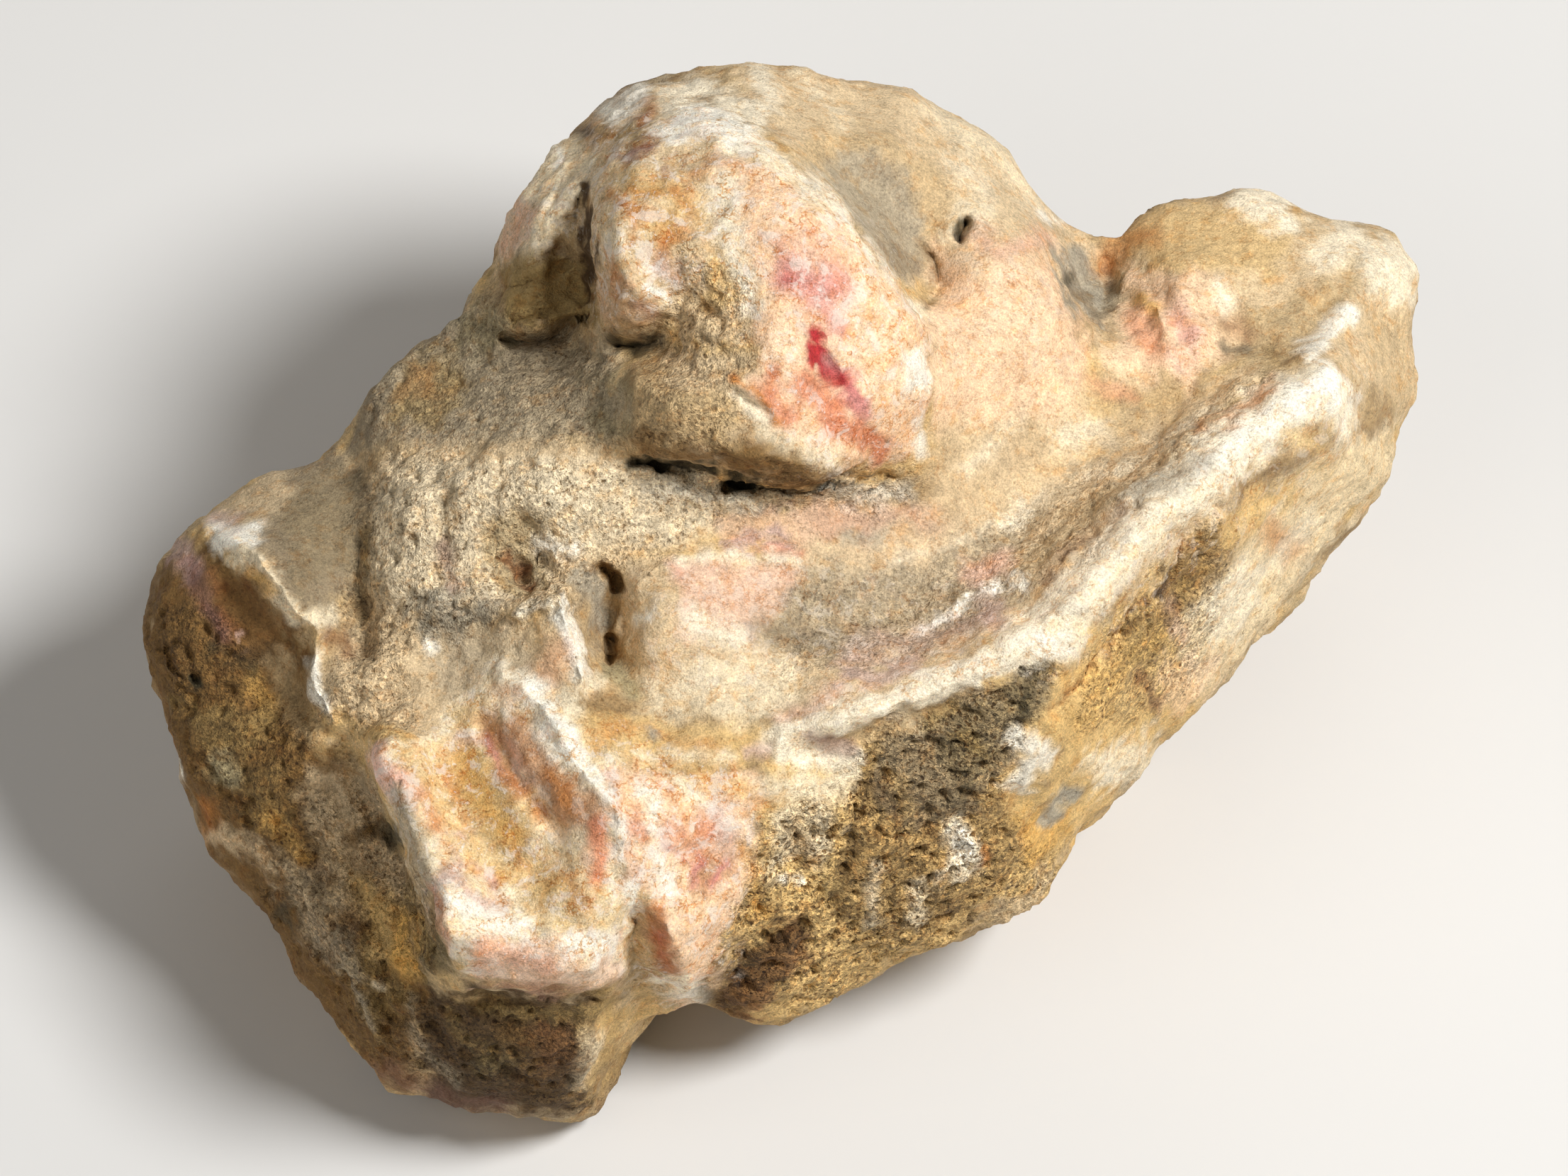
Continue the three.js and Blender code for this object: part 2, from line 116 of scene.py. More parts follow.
def closeTo(places, ends, margin):  # which points are in the box round a line
    flat = places[:, :2]
    return (flat > ends.min(0) - margin).all(1) & (flat < ends.max(0) + margin).all(1)


def wavering(places, setting, octaves, seeds):  # shifts across and up
    size, reach = setting
    shifts = np.zeros_like(places)
    for axis, seed in enumerate(seeds):
        shifts[:, axis] = reach * waves(places, size, octaves, seed)
    return shifts


def only(obj):
    bpy.ops.object.select_all(action="DESELECT")
    obj.select_set(True)
    bpy.context.view_layer.objects.active = obj


def finishWith(obj, kind, **settings):
    only(obj)
    modifier = obj.modifiers.new(kind.lower(), kind)
    for name, value in settings.items():
        setattr(modifier, name, value)
    bpy.ops.object.modifier_apply(modifier=modifier.name)


# One lump, skinned over the node, carved and painted. Pairs are a size and a height in millimetres.
stone = {
    "grain": 0.00047,  # metres, spacing of the new skin before the show face is made finer
    "softening": 7,  # rounds of smoothing that take the flat facets out
    "finerFrom": 0.12,  # a facet that faces out by more than this is made finer
    "wobble": (1.6, 0.3),  # how the strokes of the chisel waver
    "warp": (2.6, 0.7),  # how the edges of the finishes waver
    "fray": (1.1, 0.7),  # and how they fray
    "swell": (6.0, 0.45),
    "knobs": (2.2, 0.26),
    "grit": (0.7, 0.13),
    "pits": (0.9, 0.35),
    "backSwell": (9.0, 1.6),
    "grounded": (0.3, 2.5),  # both are heights, from the floor: the relief sets in between them
    "thinned": 0.55,  # share of the triangles that is kept at the end
}

print("stone: copying the node")
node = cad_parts[nodeName]
lump = bpy.data.objects.new("stone", node.data.copy())
bpy.context.collection.objects.link(lump)
lump.data.materials.clear()
only(lump)
bpy.ops.object.mode_set(mode="EDIT")
bpy.ops.mesh.select_all(action="SELECT")
bpy.ops.mesh.remove_doubles(threshold=1e-6)
bpy.ops.object.mode_set(mode="OBJECT")
finishWith(lump, "REMESH", mode="VOXEL", voxel_size=stone["grain"], use_smooth_shade=True)
finishWith(lump, "SMOOTH", factor=0.5, iterations=stone["softening"])

faceNormals = np.empty(len(lump.data.polygons) * 3, np.float32)
lump.data.polygons.foreach_get("normal", faceNormals)
towards = faceNormals.reshape(-1, 3) @ np.array(outAxis)
bpy.ops.object.mode_set(mode="EDIT")
bpy.ops.mesh.select_all(action="DESELECT")
bpy.ops.object.mode_set(mode="OBJECT")
lump.data.polygons.foreach_set("select", towards > stone["finerFrom"])
bpy.ops.object.mode_set(mode="EDIT")
bpy.ops.mesh.select_mode(type="FACE")
bpy.ops.mesh.subdivide(number_cuts=1, smoothness=0.4)
bpy.ops.object.mode_set(mode="OBJECT")
finishWith(lump, "SMOOTH", factor=0.4, iterations=2)
print("stone: skin of", len(lump.data.vertices), "points")

# Strokes of the chisel: [line, half width, height, shape]. A height below zero cuts in. A crease
# comes to an edge, a swell is round.
strokes = [
    # broad forms
    [[(-5.2, 19.4), (-4.6, 17), (-4.6, 14.8)], 2.9, 1.1, "swell"],
    [[(-8.2, 12.6), (-6.4, 10.6)], 2.6, 0.7, "swell"],
    [[(-14.2, 24.4), (-14.8, 21.8), (-15, 19.4)], 2.8, 2.6, "swell"],
    [[(-10, 21), (-9.4, 17.4)], 1.8, 0.9, "swell"],
    [[(-26, -5.4), (-24.4, -5.8)], 2.2, 0.9, "swell"],
    # crevice under the crown, its lip, and the hole in it
    [[(-8.6, 7.4), (-7.3, 7.1), (-5.4, 6.9), (-3.8, 6.7)], 0.36, -1.8, "crease"],
    [[(-3.1, 6.2), (-2, 6.1)], 0.7, -2.6, "crease"],
    [[(-1.4, 5.9), (0, 5.8), (1.5, 5.7), (2.6, 6)], 0.35, -1.2, "crease"],
    [[(3, 6.3), (4.5, 6.5), (6.2, 6.6)], 0.35, -1, "crease"],
    [[(-8.6, 8.3), (-6, 7.9), (-3.5, 7.6), (-1, 7.2), (1, 6.8), (2.6, 6.8)], 0.9, 0.5, "swell"],
    [[(-7, 5.8), (-4.4, 5.3), (-1.6, 5)], 1.1, 0.8, "swell"],
    # slit
    [[(-10.6, 1), (-10.1, 0.6), (-9.8, 0)], 0.45, -1.2, "crease"],
    [[(-9.4, -0.6), (-9.5, -1.6), (-9.9, -2.6)], 0.7, 0.8, "swell"],
    [[(-10.2, -3), (-10.3, -4.2)], 0.36, -1.6, "crease"],
    # hollows left of the crown's column
    [[(-16.2, 14.5), (-14.8, 14.3), (-13.6, 14.7), (-12.5, 15.4), (-11.3, 16)], 0.6, -2.6, "crease"],
    [[(-11.7, 17), (-11.6, 18.8), (-11.6, 20.6), (-11.8, 22.6)], 1, -1, "swell"],
    [[(-13.6, 21.2), (-12.2, 21.6)], 0.3, -0.8, "crease"],
    [[(-9.7, 14.2), (-8.6, 13.9), (-7.5, 14.3)], 0.75, -2, "crease"],
    [[(-16.2, 17.4), (-14, 18.1), (-12.5, 19)], 0.4, -0.6, "crease"],
    [[(-15.8, 15.6), (-14.4, 16), (-12.6, 16.6)], 0.4, -0.6, "crease"],
    [[(-15.4, 18.6), (-13.8, 19.4), (-12.8, 20)], 0.35, -0.5, "crease"],
    # crown
    [[(-5.5, 27.8), (-3, 26), (0, 24.5), (2, 22.7), (4.3, 20.5), (6, 18),
      (7.4, 15.5)], 1.6, 0.7, "crease"],
    [[(-5, 16.6), (-4.4, 16)], 0.5, -0.3, "swell"],
    [[(-2.9, 12.2), (-1.6, 11.3), (-0.7, 10.2), (-0.4, 9.5)], 0.45, 0.35, "crease"],
    [[(-2.5, 11.4), (-1.3, 10.3)], 0.6, -0.45, "swell"],
    [[(1.3, 15), (1.6, 12.3)], 0.4, 0.3, "crease"],
    [[(2.2, 14.5), (2.9, 12)], 0.5, -0.4, "swell"],
    [[(3, 11.5), (5.5, 8)], 0.9, -0.3, "swell"],
    [[(6.6, 13.6), (7.6, 11.6)], 1, 0.4, "swell"],
    [[(-3, 22), (-4.4, 20.4), (-6, 20.2)], 0.7, 0.3, "swell"],
    [[(-9, 18.4), (-7.4, 17)], 1.1, 0.4, "swell"],
    # saddle and its hole
    [[(10.3, 20.5), (10.6, 21.4)], 0.55, -2.6, "crease"],
    [[(8, 20.2), (8.8, 19.2), (9, 18), (8.3, 16.3)], 0.3, -0.5, "crease"],
    [[(9.4, 20.4), (10.4, 22.2), (12, 22)], 0.6, 0.3, "swell"],
    [[(3, 24.6), (6, 21), (7, 18.6)], 1.6, -0.5, "swell"],
    [[(-2, 29.6), (0.6, 28.6), (3, 27.4)], 0.8, 0.25, "swell"],
    [[(16.8, 18.2), (17.4, 16.8)], 0.9, -0.8, "swell"],
    [[(19, 19), (19.2, 17.4), (18.2, 16.2)], 0.7, -0.8, "swell"],
    # upper right lobe
    [[(20.2, 18.4), (21, 17), (22.2, 15.8)], 0.8, 0.6, "swell"],
    [[(21.2, 16), (21.6, 14)], 0.9, -0.6, "swell"],
    [[(23, 17.6), (24.4, 15.4), (24, 14)], 1.3, 0.7, "swell"],
    [[(26, 17), (27, 15.4), (26.2, 14.2)], 0.8, -0.5, "swell"],
    [[(28.4, 13.6), (31, 15.4), (33.4, 18.8)], 1.2, -0.6, "swell"],
    [[(30.6, 13.8), (32, 15.1), (33.4, 16.4)], 1, 0.5, "swell"],
    [[(26.4, 22.4), (29.4, 22.4)], 1.6, 0.4, "swell"],
    # pale ridge over the trough
    [[(0, -8.5), (5, -7.3), (10, -5.3), (13, -4)], 1, 0.6, "swell"],
    [[(14, -3), (17, -0.6), (20, 2.4), (23, 5.6), (26, 8), (29, 10.4), (31.4, 11.6)], 1.9, 0.8, "swell"],
    [[(31.6, 13), (32.6, 12), (32.4, 9.4)], 0.8, 0.6, "crease"],
    [[(1, -9.8), (5, -8.8), (9, -7), (12.8, -5.7), (15.4, -4.6)], 0.9, -0.6, "crease"],
    [[(15.6, -7.2), (17.2, -5.2), (18.5, -3.4), (20, -1.5), (21.8, 0.2), (22.8, 2.2), (24, 3.9),
      (25.4, 4.8)], 0.8, -1.1, "crease"],
    [[(22.6, -0.6), (24.4, 1.8)], 1.4, -0.6, "swell"],
    [[(20.4, 4.4), (23, 7.4), (26, 9.6), (28.6, 12), (30, 13)], 0.7, -0.4, "crease"],
    [[(29, 8), (31, 9)], 0.5, -0.5, "crease"],
    [[(17, -3), (16, -5.5), (15.5, -8), (15, -10.5), (15.6, -13)], 1, 0.5, "crease"],
    [[(8.2, -2.4), (11, 0), (13, 0.5)], 0.3, 0.22, "crease"],
    # knuckle
    [[(-9, 0), (-7.6, 1.3), (-5.6, 2), (-3, 2), (0.4, 1.6)], 0.9, 0.5, "crease"],
    [[(-4, 2.8), (-2, 2.7), (0.6, 2.3)], 0.6, -0.5, "crease"],
    [[(-4.3, 3.6), (-4, 4.2)], 0.4, -0.8, "swell"],
    # left of the slit
    [[(-15.8, -1.6), (-14.4, -1), (-13.2, -0.4), (-12.4, -2.6), (-11.6, -5.4)], 0.9, 0.8, "crease"],
    [[(-14, 1.4), (-12.8, 0.2)], 0.5, -0.6, "crease"],
    [[(-16.2, 2), (-15.4, 1.2), (-14.8, 0.2)], 0.5, -0.6, "crease"],
    # dome
    [[(-19.8, 7), (-19.6, 4), (-20, 0.8)], 1.1, -0.3, "swell"],
    [[(-16.6, 7), (-16.8, 4), (-17.4, 1)], 0.8, -0.3, "swell"],
    [[(-24.6, 3), (-24.8, 0), (-24.4, -3.6)], 0.9, -0.9, "crease"],
    # left lump
    [[(-33, 3), (-31, 2.2), (-30, 0.8), (-28.6, -1.4), (-27, -2.2)], 0.9, 0.7, "crease"],
    [[(-32.4, 0), (-30.4, -1.6), (-28.6, -3.4)], 1.2, -0.6, "swell"],
    [[(-27.1, -2.6), (-27.7, -4.6), (-27.4, -6.4), (-26.4, -7.4)], 0.6, 0.8, "crease"],
    [[(-28.6, -4.4), (-28.4, -6.4), (-26.8, -8.2), (-24.8, -9.6)], 0.7, -0.5, "crease"],
    [[(-34.5, -5.2), (-34.3, -5.3)], 0.35, -1.2, "crease"],
    [[(-36.2, -3.4), (-35.8, -4.6), (-35, -5.3)], 0.25, -0.5, "crease"],
    [[(-34, 1.6), (-33.2, -1.4), (-31.6, -4)], 0.8, 0.25, "swell"],
    # pink block
    [[(-23.5, -10), (-22.4, -12.4), (-21.4, -15), (-20.4, -17.6), (-19.4, -20.2)], 0.9, 0.6, "crease"],
    [[(-18, -20.6), (-15, -21), (-12, -20.8), (-10.4, -20.6)], 1.5, 0.4, "swell"],
    [[(-25, -11.4), (-23.2, -14.4), (-21.8, -17)], 0.9, -1, "crease"],
    [[(-21.8, -17), (-20.6, -20), (-19.6, -22.8)], 0.8, -0.6, "crease"],
    [[(-18, -23.9), (-15.6, -24.2), (-13.4, -23.6), (-11, -23.6)], 0.7, -1.1, "crease"],
    [[(-17.4, -8), (-15.4, -11), (-13.4, -14)], 1.2, -0.6, "swell"],
    [[(-16.4, -5), (-14.8, -6), (-13.2, -8.2), (-11.6, -11), (-10, -12.2), (-9.2, -14.4),
      (-9, -17)], 0.9, 0.6, "crease"],
    [[(-19.4, -16.8), (-17.4, -17.8), (-15.4, -19.4)], 0.8, 0.3, "swell"],
    # prong
    [[(-7.8, -18.2), (-6.6, -20.4), (-5.8, -22.4), (-5.4, -24)], 1, 0.8, "crease"],
    [[(-9, -18.8), (-8.8, -20.8), (-8.5, -23)], 0.7, -0.8, "crease"],
    # foot
    [[(-11.6, -24.6), (-11.5, -26.8), (-11.6, -29.2)], 0.9, 0.6, "crease"],
    [[(-20.6, -25), (-19.6, -27), (-17.4, -28.6), (-14, -29.4)], 0.6, -0.4, "crease"],
    # lower flanks
    [[(4.2, -11), (3.8, -15), (3, -19)], 0.8, -0.5, "crease"],
    [[(0.8, -12.6), (0.6, -15.6)], 0.6, -0.4, "swell"],
    [[(-3.4, -21.8), (-1, -20.2), (1, -19.6)], 0.8, -0.7, "swell"],
    [[(7.6, -13), (7, -18)], 1, -0.4, "swell"],
    [[(10.4, -14.6), (11.4, -15.4), (10.4, -16.4), (9, -16.6)], 0.8, 0.8, "crease"],
    [[(8.4, -17.4), (7.6, -19.4)], 0.7, 0.3, "swell"],
    [[(14.4, -9), (14, -11.6)], 0.9, 0.5, "swell"],
    [[(-31, -15.8), (-28.4, -18), (-26, -21)], 0.9, 0.6, "crease"],
    [[(-30, -17.8), (-28.6, -19.6), (-28.4, -21)], 0.7, -0.6, "swell"],
    [[(-25, -23), (-23.6, -26)], 0.7, 0.5, "crease"],
    [[(-22, -24.4), (-21, -27)], 0.6, 0.5, "crease"],
    [[(-23.2, -22), (-23, -25.6)], 0.7, -0.6, "swell"],
]


def strokeHeights(places, towards):
    total = np.zeros(len(places))
    for line, width, height, shape in strokes:
        ends = np.array(line)
        near = np.flatnonzero(closeTo(places, ends, width * 1.4) & (towards > -0.3))
        if not len(near):
            continue
        reach = lineReach(places[near] + wobble[near], ends)
        share = np.clip(1 - reach / width, 0, 1)
        if shape == "crease":
            profile = share ** 1.4
        else:
            profile = share * share * (3 - 2 * share)
        total[near] += height * profile
    return total


print("stone: shaping")
places = meshPlaces(lump.data)
local = onFace(places)
towards = meshNormals(lump.data) @ np.array(outAxis)
wobble = wavering(local, stone["wobble"], 2, (1, 2))
setPlaces(lump.data, places + np.outer(strokeHeights(local, towards) / 1000, np.array(outAxis)))
finishWith(lump, "SMOOTH", factor=0.35, iterations=1)
bpy.ops.object.shade_smooth()

# Where the skin is smooth and worn, where crystals glint, where they are calm and where the crust
# is granular: [outline, strength].
wornAreas = [
    [[(9.5, 20), (15.5, 21), (16.5, 16), (18, 12), (20, 9), (16, 5), (10, 1), (3, 0), (8, 8),
      (8.5, 15)], 1],
    [[(1, 24), (-2, 30), (8, 29.6), (14, 26), (18, 20), (9.5, 21), (6.5, 19)], 0.9],
    [[(-9, 0), (-5, 1.6), (4, 0), (4, -5), (-8, -6)], 0.8],
    [[(-34, 4), (-27, 7.5), (-24.5, 6), (-25, -1), (-30, 1.5)], 0.9],
    [[(20, 20), (22, 23), (30, 24), (37, 20), (37, 10), (34, 8), (26, -1), (22, -9), (18, -6), (30, 7),
      (30, 15)], 0.6],
    [[(-9, 9), (-8, 14), (-3.4, 14), (-3, 9)], 0.8],
    [[(-3, 26), (7, 18), (8, 8), (-1, 9)], 0.5],
    [[(-26, 8), (-22, 14), (-12, 15), (-10, 10), (-20, 8)], 0.4],
]
crystalAreas = [
    [[(-11.4, 27), (-5, 28), (0, 25), (6, 20), (8.4, 15), (8, 7.6), (2, 7), (-1, 10), (-2.4, 15),
      (-3, 19), (-6, 17), (-8, 15.6), (-11, 15.6)], 1],
    [[(-16.8, 20), (-13, 26), (-11.4, 23), (-12.6, 20)], 0.7],
    [[(-23.6, -10), (-17, -5), (-12, -8), (-3, -10), (-1, -12), (-3, -22), (-6, -25), (-10, -22),
      (-18.6, -22.6)], 1],
    [[(-9.4, 0.4), (-5, 2), (2, 1), (14, 0), (8, -4), (-2, -6), (-9, -5)], 0.4],
    [[(0, -9.6), (16, -5), (34, 9), (33.6, 14), (15, 0), (0, -7)], 0.5],
    [[(8.6, 20), (15.6, 21), (17, 12), (8.4, 12)], 0.3],
]
calmAreas = [
    [[(1, 15.6), (2.4, 15.4), (3.6, 13), (5.4, 10.4), (4.4, 9.6), (2.6, 11), (1, 12.4)], 0.95],
    [[(-18.4, -7), (-15.4, -7), (-12.6, -10.6), (-10.2, -13), (-10.6, -15.6), (-14.6, -14.4)], 0.55],
    [[(-8.2, -18.4), (-6.8, -19), (-5.8, -22), (-6.8, -23), (-8.4, -21)], 0.9],
    [[(-5.4, -17.8), (-3.4, -16), (-3, -17.6)], 0.8],
]
granularAreas = [
    [[(-8, 14.4), (-5.6, 20), (-2.2, 18), (-2.6, 8), (-9, 8)], 0.9],
    [[(-25, 7), (-21, 8), (-4, 7), (8, 7), (7, 4.4), (-3, 4), (-11, 0), (-14, -2), (-22, -4), (-22, -9),
      (-28, -8), (-26, -3)], 0.85],
    [[(-24, 8), (-24, 14), (-18, 17), (-10, 14), (-9, 8)], 0.7],
    [[(0, 0), (8, 2), (20, 8), (29, 13.6), (29, 12), (16, 1), (8, -4), (0, -6)], 0.6],
    [[(-1.6, -13.4), (3.4, -11.6), (5.4, -8.8), (16, -4), (14, -8), (13, -13), (16, -17), (3, -24),
      (-4, -25)], 1.5],
    [[(18, -3), (25, 4.6), (26, 1), (25, -4), (21, -8), (17, -8)], 1.1],
    [[(-26, -9), (-20, -20), (-21, -23), (-24, -19)], 1.1],
    [[(-37, -1), (-33, -1), (-28, -8), (-22, -24), (-11, -24), (-11, -31), (-24, -28), (-36, -8)], 1],
]
places = meshPlaces(lump.data)
normals = meshNormals(lump.data)
local = onFace(places)
towards = normals @ np.array(outAxis)
front = smoothStep(towards, -0.35, 0.1)  # 1 on the show side
millimetres = places * 1000
warp = wavering(millimetres, stone["warp"], 4, (7, 8))


def relief(name, octaves, seed):
    size, reach = stone[name]
    return reach * waves(millimetres, size, octaves, seed)


fray = relief("fray", 5, 9)


def masked(outlines, soft):
    total = np.zeros(len(local))
    for outline, strength in outlines:
        reach = areaReach(local + warp, outline) + fray
        total = np.maximum(total, smoothStep(-reach, -soft, soft) * strength)
    return total * front


worn = masked(wornAreas, 1.4)
crystal = masked(crystalAreas, 0.8) * (1 - masked(calmAreas, 0.5))
granular = np.maximum(masked(granularAreas, 1), 0.6 * (1 - front))
away = smoothStep(-towards, -0.1, 0.5)  # 1 on the back
rough = 1 - worn
lift = relief("swell", 3, 3) * (1 - 0.6 * worn)
lift += relief("knobs", 3, 4) * (0.2 + 0.8 * rough)
lift += relief("grit", 2, 5) * (0.15 + 0.85 * rough)
pitSize, pitDepth = stone["pits"]
lift -= pitDepth * smoothStep(waves(millimetres, pitSize, 2, 14), 0.18, 0.5) * granular * rough
lift += relief("backSwell", 4, 6) * away
lift *= smoothStep(places[:, 2] * 1000, *stone["grounded"])
setPlaces(lump.data, np.clip(places + normals * (lift / 1000)[:, None], np.array(low), np.array(high)))

# Finishes, as red, green and blue out of 255 in daylight. Some dark ones are also laid as painted shade
# in creases, holes and hollows.
tints = {
    "white": (252, 245, 228),
    "cream": (248, 234, 206),
    "ivory": (240, 222, 188),
    "sand": (220, 194, 154),
    "tan": (196, 168, 124),
    "peach": (246, 208, 170),
    "shell": (238, 196, 174),
    "rose": (214, 142, 134),
    "crimson": (180, 50, 54),
    "coral": (212, 136, 100),
    "lilac": (206, 176, 164),
    "mauve": (150, 108, 98),
    "olive": (158, 132, 82),
    "ochre": (220, 184, 122),
    "gold": (222, 174, 96),
    "amber": (198, 126, 54),
    "rust": (176, 118, 74),
    "chestnut": (132, 86, 48),
    "brown": (126, 95, 52),
    "umber": (84, 62, 34),
    "grey": (178, 162, 134),
    "smoke": (166, 157, 138),
    "ash": (146, 130, 104),
    "sage": (166, 151, 114),
    "moss": (116, 102, 68),
    # dark patches of the crust, and painted shade in creases and holes
    "sootAndShade": (74, 66, 44),
}


def linear(colour):
    share = np.array(colour) / 255
    return np.where(share <= 0.04045, share / 12.92, ((share + 0.055) / 1.055) ** 2.4)
